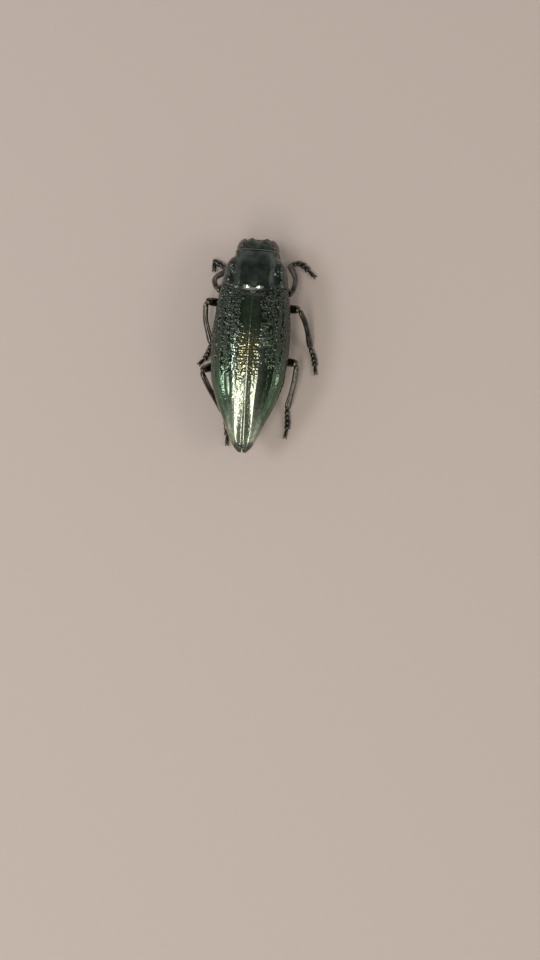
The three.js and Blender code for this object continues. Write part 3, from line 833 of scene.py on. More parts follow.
@dataclass
class WingCase:
    """One wing case: a ribbed, pitted vault, with a rounded rim and a flat underside.

    Ribs are numbered from 0 at the seam to 6 at the outer edge, and a place between two has a number between.
    """

    bench: Bench
    finish: Finish
    side: Side
    rows: int = 330
    arc_columns: int = 116
    rim: float = 0.08
    seam_rim: float = 0.045
    ribs: int = 6
    rib_spread: float = 1.18
    rib_share: float = 0.205
    rib_places: tuple[float, ...] = (0, 1.2, 2.1, 3, 4, 5, 6)
    rib_heights: tuple[float, ...] = (0.05, 0.065, 0.08, 0.1, 0.1, 0.06, 0.07)
    flute_shape: float = 1.8
    rib_crown: float = 0.88
    # The right case's low rib: its number, how many ribs' width it reaches, and the share that it loses.
    low_rib: tuple[float, float, float] = (2.1, 0.5, 0.55)
    vault: float = 2.5
    closing_share: float = 0.6
    closing_length: float = 9.0
    seam_gap: float = 0.008
    notch_width: float = 0.16
    notch_length: float = 0.9
    shield_front: float = 22.52
    shield_length: float = 0.62
    shield_half: float = 0.46
    shield_shape: float = 1.6
    lip: float = 0.3
    # Where along the body, from the tips, each part of the relief sets in and is full.
    tip_fade: Span = (0.2, 2)
    rear: Span = (12.5, 8)
    nape: Span = (13.5, 17.5)
    flank_widens: Span = (17, 14)
    flank_roughens: Span = (10, 14)
    outer_ribs_end: Span = (8.6, 6.2)
    ladder_starts: Span = (10.5, 12)
    ladder_ends: Span = (18, 16)
    # How deep the net along the seam, the flanks' wrinkles and holes, and the ladder's rungs are.
    net_depth: float = 0.06
    flank_net_depth: float = 0.02
    wrinkle_depth: float = 0.2
    hole_depth: float = 0.12
    ladder_depth: float = 0.1
    ladder_rib: tuple[float, float] = (1.15, 2.0)
    tip_grain: float = 0.1
    shoulder_height: float = 0.16
    front_rim_height: float = 0.06
    base_lumps: tuple[float, ...] = (1.1, 1.9, 2.75, 3.6)
    lump_size: Point = (0.22, 0.17, 0.2)

    def seam(self, s: Array) -> Array:
        """Draws the inner edge, with its notch at the tip and its bay for the shield.

        Args:
            s: Place along the body, from the tips.

        Returns:
            How far the edge lies from the middle of the body.
        """
        notch = self.notch_width * np.clip(1 - s / self.notch_length, 0, 1) ** 2
        lobe = BODY.lobe(0) * smooth_step(21, 23.5, s)
        behind = np.clip((self.shield_front - s - lobe) / self.shield_length, 0, 1)
        beside_shield = self.shield_half * np.sqrt(1 - behind**self.shield_shape)
        return np.maximum(self.seam_gap + notch, beside_shield)

    def arc_angle(self, rib: Array, s: Array) -> Array:
        """Returns the angle round the vault of each rib number, which run together towards the tips."""
        closing = self.closing_share + (1 - self.closing_share) * smooth_step(0, self.closing_length, s)
        return np.pi / 2 * (rib / self.ribs) ** (self.rib_spread * closing)

    def pits(self, number: int, pitch: float, radius: float) -> PitField:
        """Returns one of this side's own pit fields."""
        return PitField(pitch, radius, (7 if self.side is Side.RIGHT else 11) + number)

    def base_relief(self, rib: Array, s: Array, width: Array) -> Array:
        """Shapes the shoulder, the front rim and its polished knobs.

        Args:
            rib: Rib number.
            s: Place along the body, from the tips.
            width: Half the body's width there.

        Returns:
            Millimetres out of the plain vault, less than 0 where it is sunk in.
        """
        x = width * np.sin(self.arc_angle(rib, s)) ** (2 / self.vault)
        shoulder = bump(s, 22.2, 0.9) * bump(rib, 4, 0.9) * smooth_step(BODY.base, BODY.base - 0.6, s)
        out = self.shoulder_height * shoulder + self.front_rim_height * bump(s, BODY.base - 0.32, 0.16)
        half_width, half_length, height = self.lump_size
        for lump in self.base_lumps:
            out += height * bump(x, lump, half_width) * bump(s, BODY.base - 0.62, half_length)
        return out

    def relief(self, rib: Array, s: Array, width: Array) -> Array:
        """Shapes the ribs, the net along the seam, the rugged flank and the base.

        Args:
            rib: Rib number.
            s: Place along the body, from the tips.
            width: Half the body's width there.

        Returns:
            Millimetres out of the plain vault, less than 0 where it is sunk in.
        """
        across = rib * self.rib_share * width
        net = self.pits(0, 0.3, 0.16)(across * 0.75, s)
        wrinkles = self.pits(1, 0.52, 0.27)(across * 0.6, s)
        holes = self.pits(2, 0.42, 0.2)(across, s)
        tip_grain = self.pits(3, 0.24, 0.11)(across, s) - 0.4
        ladder = self.pits(4, 0.38, 0.19)(across * 0.35, s)

        fade = smooth_step(*self.tip_fade, s) * smooth_step(BODY.base, BODY.base - 1.5, s)
        rear = smooth_step(*self.rear, s)
        inner = 0.95 + 0.75 * smooth_step(*self.flank_widens, s)
        flank = smooth_step(inner, inner + 1.0, rib)
        nape = smooth_step(*self.nape, s) * (1 - flank)
        # The flank's edge follows its wrinkles, so that it looks ragged.
        ragged = smooth_step(inner, inner + 0.7, rib + 0.7 * (wrinkles - 0.5))
        rugged = ragged * smooth_step(*self.flank_roughens, s) * smooth_step(BODY.base + 0.1, BODY.base - 0.5, s)

        # Between two ribs the shell is hollowed like a flute of a column.
        place = np.interp(rib, self.rib_places, range(len(self.rib_places)))
        on_rib = np.minimum(np.abs(2 * (place % 1) - 1) ** self.flute_shape, self.rib_crown) / self.rib_crown
        ribs = np.interp(rib, self.rib_places, self.rib_heights) * (1 - 0.15 * rear) * on_rib
        if self.side is Side.RIGHT:
            middle, half_width, share = self.low_rib
            ribs *= 1 - share * bump(rib, middle, half_width)
        ribs *= 1 - 0.9 * smooth_step(*self.outer_ribs_end, s) * smooth_step(1.4, 1.8, rib)
        ribs *= 1 - 0.6 * rear * smooth_step(2.4, 3, rib)

        net_share = smooth_step(1.7, 1.25, rib) * (1 - 0.55 * nape) * (1 - 0.4 * on_rib) * (1 - 0.75 * rear)
        out = fade * ribs * (1 - 0.1 * nape) * (1 - 0.7 * rugged * wrinkles)
        out -= self.net_depth * fade * net_share * net
        out -= rugged * (self.wrinkle_depth * wrinkles + self.hole_depth * holes)
        out -= self.flank_net_depth * flank * fade * (1 - rugged) * net
        rungs = bump(rib, self.ladder_rib[self.side is Side.LEFT], 0.35)
        rungs *= smooth_step(*self.ladder_starts, s) * smooth_step(*self.ladder_ends, s)
        out -= self.ladder_depth * rungs * ladder
        out += self.tip_grain * smooth_step(2, 0.6, s) * tip_grain
        return out + self.base_relief(rib, s, width)

    def rings(self) -> Array:
        """Draws the wing case, each ring from the seam over the vault and back below.

        Returns:
            The rings, from the tip to the base.
        """
        s, rib = np.meshgrid(
            np.linspace(self.rim, BODY.base - self.rim, self.rows),
            np.linspace(0, self.ribs, self.arc_columns),
            indexing="ij",
        )
        width, edge = BODY.elytra_width(s), BODY.waterline(s)
        vault = superellipse(self.arc_angle(rib, s), width, BODY.elytra_top(s) - edge, self.vault)
        out = self.relief(rib, s, width)
        seam = self.seam(s)
        x = seam + (vault[0] + out * vault[2]) * (width - seam) / width
        inside = np.clip(1 - (x - seam) / self.seam_rim, 0, 1)
        z = edge + vault[1] + out * vault[3] - self.seam_rim * (1 - np.sqrt(1 - inside**2))
        top = np.stack([np.maximum(x, seam), s, z], axis=2)

        first = slice(0, 1)
        seam, width, edge, low = seam[:, first], width[:, first], edge[:, first], s[:, first]
        lip = np.minimum(self.lip, width * 0.3)
        rounded = ((0.1, 0.06), (0.45, 0.09), (0.9, 0.05))
        under = [(width - lip * share, edge - drop * lip / self.lip) for share, drop in rounded]
        under += [(width - lip + (seam - width + lip) * share, edge) for share in (0.03, 0.3, 0.6, 0.9, 1.0)]
        under += [(seam, edge + (z[:, first] - edge) * share) for share in (0.25, 0.6, 0.9)]
        below = np.concatenate([np.stack([x, low, z], axis=2) for x, z in under], axis=1)
        rings = np.concatenate([top, below], axis=1)
        rings[..., 1] += smooth_step(BODY.base - 2.5, BODY.base, rings[..., 1]) * BODY.lobe(rings[..., 0])
        return rings

    def build(self) -> None:
        """Builds the wing case and delivers it."""
        rings = self.rings() * (self.side.value, 1, 1)
        self.bench.deliver_shell(rings, self.rim, f"elytron_{self.side.word}", Slot.WING_CASE, self.finish)


@dataclass
class Shield:
    """The little shield (scutellum) between the bases of the wing cases."""

    bench: Bench
    finish: Finish
    half: float = 0.42
    length: float = 0.55
    front: float = 22.52
    level: float = 23.2
    thick: float = 0.7
    slope: float = 0.3
    proud: float = 0.02
    corners: int = 40
    shape: float = 1.6
    edge: float = 0.07

    def build(self) -> None:
        """Builds the shield from a round plate, drawn out to its point, and delivers it."""
        self.bench.deselect()
        bpy.ops.mesh.primitive_circle_add(vertices=self.corners, radius=1, fill_type="NGON")
        piece = bpy.context.object
        co = self.bench.points(piece)
        behind = (1 - co[:, 1]) / 2
        half = self.half * np.sqrt(np.clip(1 - behind**self.shape, 0, 1))
        co[:, 0] = np.sign(co[:, 0]) * half * (np.abs(co[:, 0]) > 1e-4)
        co[:, 1] = -self.length * behind
        co[:, 2] = 0
        self.bench.move(piece, co)
        self.bench.edit()
        bpy.ops.mesh.extrude_region_move(TRANSFORM_OT_translate={"value": (0, 0, -self.thick)})
        self.bench.close_outwards()
        self.bench.settle(
            piece,
            BEVEL={"width": self.edge, "segments": 3, "limit_method": "ANGLE"},
            TRIANGULATE={"quad_method": "BEAUTY", "ngon_method": "BEAUTY"},
        )
        piece.rotation_euler = (-self.slope, 0, 0)
        piece.location = (0, self.front, BODY.stance + float(BODY.elytra_top(self.level)) + self.proud)
        self.bench.deliver(piece, "scutellum", Slot.WING_CASE, self.finish)


# ---------------------------------------------------------------- prothorax and underside


@dataclass(frozen=True)
class Hill:
    """A rounded hill on a shell: where it is, how far it reaches and how high it is, in millimetres."""

    x: float
    s: float
    half_width: float
    half_length: float
    height: float

    def share(self, x: Array, s: Array) -> Array:
        """Returns how far up the hill each place is, from 0 to 1."""
        return bump(x, self.x, self.half_width) * bump(s, self.s, self.half_length)


def flat_side(width: Array, s: Array, level: Array, shares: Sequence[tuple[float, float]]) -> list[Array]:
    """Draws the flat side that closes each ring.

    Args:
        width: Half the width of each ring.
        s: Place of each ring.
        level: Level of the flat side.
        shares: Place across, as a share of the half width, and rise over the level, for each point.

    Returns:
        The rings' points, one array for each place across.
    """
    return [np.stack([width * share, s, level + rise], axis=2) for share, rise in shares]


def under_arc(
    s: Array, width: Array, edge: Array, bottom: Array, columns: int, relief: Callable[[Array, Array], Array]
) -> Array:
    """Draws the belly's lower half, with a flat top.

    Args:
        s: Place of each ring.
        width: Half the width of each ring.
        edge: Level of its flat top.
        bottom: Level of its lowest point.
        columns: How many points the lower half has.
        relief: How far the surface stands out, for x and s.

    Returns:
        The rings.
    """
    turn = np.linspace(-np.pi / 2, np.pi / 2, columns)[None, :]
    s, width, edge, bottom = (v[:, None] for v in (s, width, edge, bottom))
    across, down, facing, facing_down = superellipse(np.abs(turn), width, edge - bottom, BODY.belly_shape)
    x = np.sign(turn) * across
    out = relief(x, s + 0 * x)
    arc = np.stack([x + out * facing * np.sign(turn), s + 0 * x, edge - down - out * facing_down], axis=2)
    crown = [(share, 0.02 * (abs(share) < 0.95)) for share in (0.985, 0.9, 0.6, 0.3, 0, -0.3, -0.6, -0.9, -0.985)]
    return np.concatenate([arc, *flat_side(width, s, edge, crown)], axis=1)


@dataclass
class Prothorax:
    """The pronotum, with its hollows and shining swellings, and the plate below it with its tongue."""

    bench: Bench
    upper: Finish
    lower: Finish
    rows: int = 150
    columns: int = 170
    rim: float = 0.05
    hind_gap: float = -0.12
    front_gap: float = 0.05
    vault: float = 2.6
    most_aside: float = 0.05
    fovea: Hill = Hill(2.85, 24.55, 0.6, 0.85, 0.26)
    # The long hollow's inner edge, how much it curves, where it is straight, and its depth.
    long_hollow: tuple[float, float, float, float] = (2.5, 0.08, 25.6, 0.17)
    long_hollow_ends: Span = (4.1, 3.2)
    # A line's middle, half width and depth. A rim's distance from the edge, half length and height.
    side_groove: tuple[float, float, float] = (2.55, 0.35, 0.09)
    middle_line: tuple[float, float, float] = (0.0, 0.22, 0.06)
    front_fade: Span = (28.3, 27.3)
    punctured: Span = (1.9, 3.0)
    front_rim: tuple[float, float, float] = (0.2, 0.13, 0.07)
    hind_rim: tuple[float, float, float] = (0.25, 0.12, 0.04)
    swellings: tuple[Hill, ...] = (
        Hill(3.7, 26.9, 0.5, 0.8, 0.26),
        Hill(3.8, 26.6, 0.25, 0.28, 0.14),
        Hill(0.9, 23.93, 0.42, 0.16, 0.1),
        Hill(3.7, 23.75, 0.6, 0.14, 0.08),
        Hill(3.1, 25.15, 0.2, 0.25, 0.08),
    )
    plate_rows: int = 50
    plate_columns: int = 90
    keel: tuple[float, float] = (0.45, 0.12)
    tongue_size: Point = (0.5, 2.1, 0.42)
    tongue_middle: tuple[float, float] = (24.7, -2.85)
    tongue_taper: float = 0.35

    def basin(self, side: Array, s: Array, wider: float = 1, longer: float = 1) -> Array:
        """Shapes the fovea's flat-bottomed basin.

        Args:
            side: Distance from the body's middle.
            s: Place along the body, from the tips.
            wider: How many times as wide as the fovea it is.
            longer: How many times as long.

        Returns:
            1 in the basin's middle, falling to 0 round it.
        """
        fovea = self.fovea
        across = (side - fovea.x) / (wider * fovea.half_width)
        along = (s - fovea.s) / (longer * fovea.half_length)
        return np.exp(-((across**2 + along**2) ** 2))

    def hollow(self, side: Array, s: Array) -> Array:
        """Shapes the fovea, the long hollow, the side groove and the middle line.

        Args:
            side: Distance from the body's middle.
            s: Place along the body, from the tips.

        Returns:
            How deep they are together.
        """
        out = self.fovea.height * self.basin(side, s)
        edge, curve, straight, deep = self.long_hollow
        edge = edge + curve * (s - straight) ** 2
        out += deep * smooth_step(edge, edge + 0.3, side) * smooth_step(*self.long_hollow_ends, side)
        front = smooth_step(*self.front_fade, s)
        middle, half_width, deep = self.side_groove
        out += deep * bump(side, middle, half_width) * smooth_step(24.3, 25.3, s) * front
        middle, half_width, deep = self.middle_line
        return out + deep * bump(side, middle, half_width) * smooth_step(24, 25, s) * front

    def pronotum_relief(self, x: Array, s: Array) -> Array:
        """Shapes the pronotum's swellings, hollows, rims, pits and wrinkles.

        Args:
            x: Place across the body, from its middle.
            s: Place along the body, from the tips.

        Returns:
            Millimetres out of the plain vault, less than 0 where it is sunk in.
        """
        side = np.abs(x)
        smoothness = self.basin(side, s, 1.4, 1.2)
        raised = np.zeros_like(x)
        for swelling in self.swellings:
            share = swelling.share(side, s)
            raised += swelling.height * share
            smoothness = np.maximum(smoothness, smooth_step(0.05, 0.5, share))
        ends = smooth_step(BODY.base + 0.1, BODY.base + 0.7, s) * smooth_step(BODY.collar - 0.1, BODY.collar - 0.6, s)
        lateral = smooth_step(*self.punctured, side)
        pits = 0.05 * lateral * PitField(0.36, 0.14, 21)(x, s) + 0.006 * (1 - lateral) * PitField(0.3, 0.08, 22)(x, s)
        wrinkles = 0.03 * lateral * PitField(0.42, 0.2, 23)(x * 0.5, s)
        inset, half_length, height = self.front_rim
        rim = height * bump(s, BODY.collar - inset, half_length)
        inset, half_length, height = self.hind_rim
        rim = rim + height * bump(s, BODY.base + inset, half_length)
        return raised - self.hollow(side, s) + rim - (pits + wrinkles) * ends * (1 - 0.9 * smoothness)

    def pronotum(self) -> None:
        """Builds and delivers the pronotum."""
        turn = np.linspace(-np.pi / 2, np.pi / 2, self.columns)[None, :]
        start, end = BODY.base + self.hind_gap + self.rim, BODY.collar - self.front_gap - self.rim
        s = np.linspace(start, end, self.rows)[:, None]
        width, edge = BODY.pronotum_width(s), BODY.carina(s)
        across, up, facing, facing_up = superellipse(np.abs(turn), width, BODY.pronotum_top(s) - edge, self.vault)
        x = np.sign(turn) * across
        out = self.pronotum_relief(x, s + 0 * x)
        aside = np.minimum(out, self.most_aside) * facing * np.sign(turn)
        arc = np.stack([x + aside, s + 0 * x, edge + up + out * facing_up], axis=2)
        half = ((1, -0.03), (0.985, -0.06), (0.95, -0.06), (0.9, 0), (0.5, 0))
        across_under = [*half, (0, 0), *((-share, rise) for share, rise in reversed(half))]
        rings = np.concatenate([arc, *flat_side(width, s, edge, across_under)], axis=1)
        rings[..., 1] += smooth_step(BODY.base + 1.6, BODY.base, rings[..., 1]) * BODY.lobe(rings[..., 0])
        self.bench.deliver_shell(rings, self.rim, "pronotum", Slot.DARK_SHELL, self.upper)

    def plate_relief(self, x: Array, s: Array) -> Array:
        """Shapes the lower plate's pits at the sides and its raised, smooth middle, which runs back.

        Args:
            x: Place across the body, from its middle.
            s: Place along the body, from the tips.

        Returns:
            Millimetres out of the plain vault, less than 0 where it is sunk in.
        """
        half_width, height = self.keel
        keel = height * bump(x, 0, half_width) * smooth_step(28.2, 27, s)
        return keel - 0.05 * PitField(0.34, 0.14, 31)(x, s) * smooth_step(0.3, 0.9, np.abs(x))

    def prosternum(self) -> None:
        """Builds and delivers the plate below, with the tongue that reaches back between the front legs."""
        s = np.linspace(BODY.base + 0.2 + self.rim, BODY.collar - 0.1 - self.rim, self.plate_rows)
        width, top = BODY.pronotum_width(s) - BODY.tuck, BODY.carina(s) - BODY.cut
        rings = under_arc(s, width, top, BODY.throat(s), self.plate_columns, self.plate_relief)
        plate = self.bench.shell(rings, self.rim)
        tongue, co = self.bench.ball(24, 20)
        co *= self.tongue_size
        co[:, 0] *= 1 - self.tongue_taper * smooth_step(-0.8, -self.tongue_size[1], co[:, 1])
        middle, level = self.tongue_middle
        self.bench.move(tongue, co + (0, middle, BODY.stance + level))
        piece = self.bench.join([plate, tongue])
        self.bench.deliver(piece, "prosternum", Slot.UNDERSIDE, self.lower, self.bench.shell_crease)

    def build(self) -> None:
        """Builds both plates."""
        self.pronotum()
        self.prosternum()


@dataclass
class Underside:
    """The plates of the belly, from the middle legs back to the last ring."""

    bench: Bench
    finish: Finish
    columns: int = 100
    row_length: float = 0.09
    rim: float = 0.06
    lip: float = 0.05
    meta_front: float = 21.0
    meta_back: float = 14.9
    meso_front: float = 23.4
    joints: tuple[float, ...] = (13.95, 10.1, 7.2, 4.9, 3.0, 0.55)

    def relief(self, x: Array, s: Array) -> Array:
        """Shapes the belly's shallow pits, finer in the middle, and its soft middle furrow.

        Args:
            x: Place across the body, from its middle.
            s: Place along the body, from the tips.

        Returns:
            Millimetres out of the plain vault, less than 0 where it is sunk in.
        """
        side = smooth_step(0.6, 3, np.abs(x))
        pits = (0.02 + 0.04 * side) * PitField(0.33, 0.13, 33)(x, s)
        furrow = 0.05 * bump(x, 0, 0.35) * smooth_step(14, 16, s)
        return -pits - furrow

    def plate(self, node: str, start: float, end: float, lip: float = 0, half: Side | None = None) -> None:
        """Builds and delivers one plate.

        Args:
            node: The CAD node that it stands for.
            start: Its hind end.
            end: Its front end.
            lip: How far its hind edge stands out over the piece behind it.
            half: The side of the body that it covers, or None for both.
        """
        s = np.linspace(start + self.rim, end - self.rim, max(8, round((end - start) / self.row_length)))
        out = lip * (1 - (s - start) / (end - start))
        width = BODY.elytra_width(s) - np.minimum(BODY.undercut, BODY.elytra_width(s) * 0.3) + out
        rings = under_arc(s, width, BODY.waterline(s) - BODY.cut, BODY.belly(s) - out, self.columns, self.relief)
        if half is not None:
            rings[..., 0] = half.value * np.maximum(half.value * rings[..., 0], BODY.cut / 2)
        self.bench.deliver_shell(rings, self.rim, node, Slot.UNDERSIDE, self.finish)

    def build(self) -> None:
        """Builds every plate of the belly, the plate-like hind coxae among them."""
        self.plate("mesosternum", self.meta_front + BODY.cut, self.meso_front)
        self.plate("metasternum", self.meta_back, self.meta_front)
        for side in Side:
            hind = f"coxa_hind_{side.word}"
            self.plate(hind, self.joints[0] + BODY.cut, self.meta_back - BODY.cut, self.lip, side)
        for n in range(1, len(self.joints)):
            self.plate(f"abdomen_{n}", self.joints[n] + BODY.cut, self.joints[n - 1], self.lip)


# ---------------------------------------------------------------- limbs


@dataclass(frozen=True)
class LimbLine:
    """A smooth line through a limb's joints, in millimetres."""

    points: tuple[Point, ...]
    per_span: int = 24

    def sampled(self) -> list[Vector]:
        """Draws a centripetal Catmull-Rom curve through the joints.

        Returns:
            Points along the curve.
        """
        joints = [Vector(p) for p in self.points]
        joints = [2 * joints[0] - joints[1], *joints, 2 * joints[-1] - joints[-2]]
        line = [joints[1]]
        for a, b, c, d in zip(joints, joints[1:], joints[2:], joints[3:]):
            before, span, after = (max((q - p).length ** 0.5, 1e-4) for p, q in ((a, b), (b, c), (c, d)))
            start = ((b - a) / before - (c - a) / (before + span) + (c - b) / span) * span
            end = ((c - b) / span - (d - b) / (span + after) + (d - c) / after) * span
            line += [cubic(k / self.per_span, b, start, c, end) for k in range(1, self.per_span + 1)]
        return line

    def length(self) -> float:
        """Returns the line's length in millimetres."""
        line = self.sampled()
        return sum((q - p).length for p, q in zip(line, line[1:]))


@dataclass
class LimbMaker:
    """Makes limbs as by hand: a bar drawn out section by section, smoothed, and then bent to its line."""

    bench: Bench
    sides: int = 12

    def bar(self, sections: Sequence[tuple[float, float, float]], levels: int = 2) -> bpy.types.Object:
        """Draws out a bar along x.

        Args:
            sections: Place, half width and half height of each section, in millimetres.
            levels: How often it is subdivided.

        Returns:
            The bar.
        """
        # The subdivision draws a round bar in, so it starts a little thicker.
        swell = 6 / (4 + 2 * math.cos(2 * math.pi / self.sides)) if levels else 1.0
        upright = (0, math.pi / 2, 0)
        self.bench.deselect()
        bpy.ops.mesh.primitive_circle_add(vertices=self.sides, radius=1, fill_type="NGON", rotation=upright)
        bpy.ops.object.transform_apply(location=True, rotation=True, scale=True)
        piece = bpy.context.object
        self.bench.edit()
        place, wide, high = sections[0]
        bpy.ops.transform.resize(value=(1, wide * swell, high * swell), center_override=(0, 0, 0))
        bpy.ops.transform.translate(value=(place, 0, 0))
        for next_place, next_wide, next_high in sections[1:]:
            bpy.ops.mesh.extrude_region_move(TRANSFORM_OT_translate={"value": (next_place - place, 0, 0)})
            grown = (1, next_wide / wide, next_high / high)
            bpy.ops.transform.resize(value=grown, center_override=(next_place, 0, 0))
            place, wide, high = next_place, next_wide, next_high
        self.bench.close_outwards()
        if levels:
            self.bench.settle(piece, SUBSURF={"levels": levels, "render_levels": levels})
        return piece

    def turned(self, line: LimbLine, widths: ProfileLine, flat: float, shares: Sequence[float]) -> bpy.types.Object:
        """Draws out a bar as long as a line, with its half width from a profile, and returns it unbent."""
        length = line.length()
        return self.bar([(length * t, float(widths(t)), float(widths(t)) * flat) for t in shares])

    def bend(self, piece: bpy.types.Object, line: LimbLine) -> bpy.types.Object:
        """Bends a straight piece along a line, its top kept upwards.

        Args:
            piece: The piece, which lies along x.
            line: The line.

        Returns:
            The same piece, bent.
        """
        guide_data = bpy.data.curves.new("guide", "CURVE")
        guide_data.dimensions, guide_data.twist_mode = "3D", "Z_UP"
        points = line.sampled()
        spline = guide_data.splines.new("POLY")
        spline.points.add(len(points) - 1)
        for spot, point in zip(spline.points, points):
            spot.co = (*point, 1)
        guide = bpy.data.objects.new("guide", guide_data)
        bpy.context.scene.collection.objects.link(guide)
        bpy.context.view_layer.update()
        self.bench.settle(piece, CURVE={"object": guide, "deform_axis": "POS_X"})
        bpy.data.objects.remove(guide)
        bpy.data.curves.remove(guide_data)
        return piece

    def copy(self, piece: bpy.types.Object, change: Matrix) -> bpy.types.Object:
        """Copies a piece with a mesh of its own.

        Args:
            piece: The piece.
            change: How the copy's mesh is placed and stretched.

        Returns:
            The copy.
        """
        self.bench.pick(piece)
        bpy.ops.object.duplicate(linked=False)
        twin = bpy.context.object
        twin.data.transform(change)
        return twin


# ---------------------------------------------------------------- head


@dataclass
class Head:
    """The head's capsule, its eyes, jaws, lip, mouthparts and feelers."""

    bench: Bench
    limbs: LimbMaker
    shell: Finish
    horn: Finish
    eye: Finish
    rows: int = 90
    columns: int = 150
    skull: float = 2.3
    rim: float = 0.12
    # How deep and how wide the groove is, where it sets in, where it is deepest and where it ends.
    groove: tuple[float, float, float, float, float] = (0.5, 0.5, 29.0, 30.0, 30.2)
    middle_line: tuple[float, float] = (0.1, 0.1)
    knob: Hill = Hill(0.93, 30.2, 0.26, 0.2, 0.3)
    brow: Hill = Hill(1.75, 29.5, 0.16, 0.5, 0.06)
    eye_middle: Point = (2.27, 29.48, 0.05)
    eye_radii: Point = (0.66, 1.1, 1.4)
    eye_lean: float = 0.22
    eye_toe: float = 0.45
    eye_fullness: float = 0.1
    mandible: tuple[Point, ...] = ((1.25, 29.85, -2.45), (1.15, 30.45, -2.5), (0.75, 30.72, -2.6), (0.2, 30.7, -2.7))
    mandible_width: ProfileLine = ProfileLine((0, 0.42), (0.5, 0.38), (1, 0.16))
    mandible_flat: float = 0.8
    mandible_shares: tuple[float, ...] = (0.02, 0.12, 0.3, 0.5, 0.7, 0.85, 0.95, 1)
    mandible_waist: float = 0.94
    lip_size: tuple[float, float, float] = (0.68, 0.55, 0.3)
    lip_notch: tuple[float, float] = (0.12, 0.1)
    lip_edge: float = 0.07
    lip_slope: float = 0.35
    lip_middle: tuple[float, float] = (30.7, -1.85)
    chin_size: Point = (0.75, 0.75, 0.42)
    chin_notch: tuple[float, float] = (0.25, 0.12)
    chin_middle: tuple[float, float] = (29.7, -2.95)
    palp: tuple[Point, ...] = ((0.45, 29.8, -3.0), (0.85, 30.2, -3.15), (0.95, 30.65, -3.2))
    feeler: tuple[Point, ...] = (
        (0.9, 30.5, -0.4), (1.1, 30.85, -1.15), (2.1, 30.4, -2.0),
        (2.25, 29.5, -2.35), (2.2, 28.2, -2.5), (2.35, 26.7, -2.6),
    )  # fmt: skip
    feeler_joints: int = 11
    plain_joints: int = 3
    tooth: tuple[float, float] = (0.2, 0.35)
    tooth_span: Span = (0.25, 0.7)
    even_joints: int = 5
    feeler_taper: float = 0.045

    def above_floor(self, points: Iterable[Point], side: Side) -> tuple[Point, ...]:
        """Returns points given for the right side, told from the waterline, as they lie on the side asked for."""
        return tuple((side.value * x, s, z + BODY.stance) for x, s, z in points)

    def relief(self, x: Array, s: Array) -> Array:
        """Shapes the head's groove, middle line, knobs, brows and pits.

        Args:
            x: Place across the body, from its middle.
            s: Place along the body, from the tips.

        Returns:
            Millimetres out of the plain vault, less than 0 where it is sunk in.
        """
        depth, width, start, deepest, until = self.groove
        frons = smooth_step(start, deepest, s) * smooth_step(BODY.nose + 0.05, until, s)
        hollow = depth * bump(x, 0, width) * frons
        half_width, deep = self.middle_line
        line = deep * bump(x, 0, half_width) * smooth_step(28.7, 29.1, s) * smooth_step(30.3, 29.9, s)
        raised = sum(hill.height * hill.share(np.abs(x), s) for hill in (self.knob, self.brow))
        fade = smooth_step(28.7, 29.0, s) * smooth_step(30.5, 30.2, s)
        pits = (0.05 * PitField(0.27, 0.11, 51)(x, s) + 0.03 * PitField(0.5, 0.2, 52)(x, s)) * fade
        return raised - hollow - line - pits

    def capsule(self) -> None:
        """Builds and delivers the head's capsule."""
        turn = (np.arange(self.columns) / self.columns * 2 * np.pi - np.pi)[None, :]
        s = np.linspace(BODY.collar + BODY.cut / 2 + self.rim, BODY.nose - self.rim, self.rows)[:, None]
        above = np.abs(turn) < np.pi / 2
        middle = BODY.head_middle(s)
        height = np.where(above, BODY.head_top(s) - middle, middle - BODY.head_under(s))
        angle = np.where(above, np.abs(turn), np.pi - np.abs(turn))
        across, up, facing, facing_up = superellipse(angle, BODY.head_width(s), height, self.skull)
        x = np.sign(turn) * across
        out = np.where(above, self.relief(x, s + 0 * x), 0)
        x = x + out * facing * np.sign(turn)
        z = middle + np.where(above, up + out * facing_up, -up)
        rings = np.stack([x, s + 0 * x, z], axis=2)
        self.bench.deliver_shell(rings, self.rim, "head", Slot.DARK_SHELL, self.shell)

    def eyes(self) -> None:
        """Builds and delivers both eyes: long bulges, fuller below than above."""
        for side in Side:
            piece, co = self.bench.ball(64, 48)
            co[:, :2] *= (1 - self.eye_fullness * co[:, 2] ** 3)[:, None]
            turned = Euler((0, -self.eye_lean * side.value, self.eye_toe * side.value)).to_matrix()
            co = (co * self.eye_radii) @ np.array(turned).T + self.above_floor([self.eye_middle], side)[0]
            co[:, 1] = np.maximum(co[:, 1], BODY.collar + BODY.cut / 2)
            self.bench.move(piece, co)
            self.bench.deliver(piece, f"eye_{side.word}", Slot.EYE, self.eye)

    def jaws(self) -> None:
        """Builds and delivers both mandibles: curved, and toothed at the tip."""
        for side in Side:
            line = LimbLine(self.above_floor(self.mandible, side))
            piece = self.limbs.turned(line, self.mandible_width, self.mandible_flat, self.mandible_shares)
            co = self.bench.points(piece)
            ridge = np.abs(np.abs(np.arctan2(co[:, 2], co[:, 1])) - np.pi / 2) < 0.5
            co[:, 1:] *= np.where(ridge, 1.0, self.mandible_waist)[:, None]
            self.bench.move(piece, co)
            self.limbs.bend(piece, line)
            self.bench.deliver(piece, f"mandible_{side.word}", Slot.HORN, self.horn)

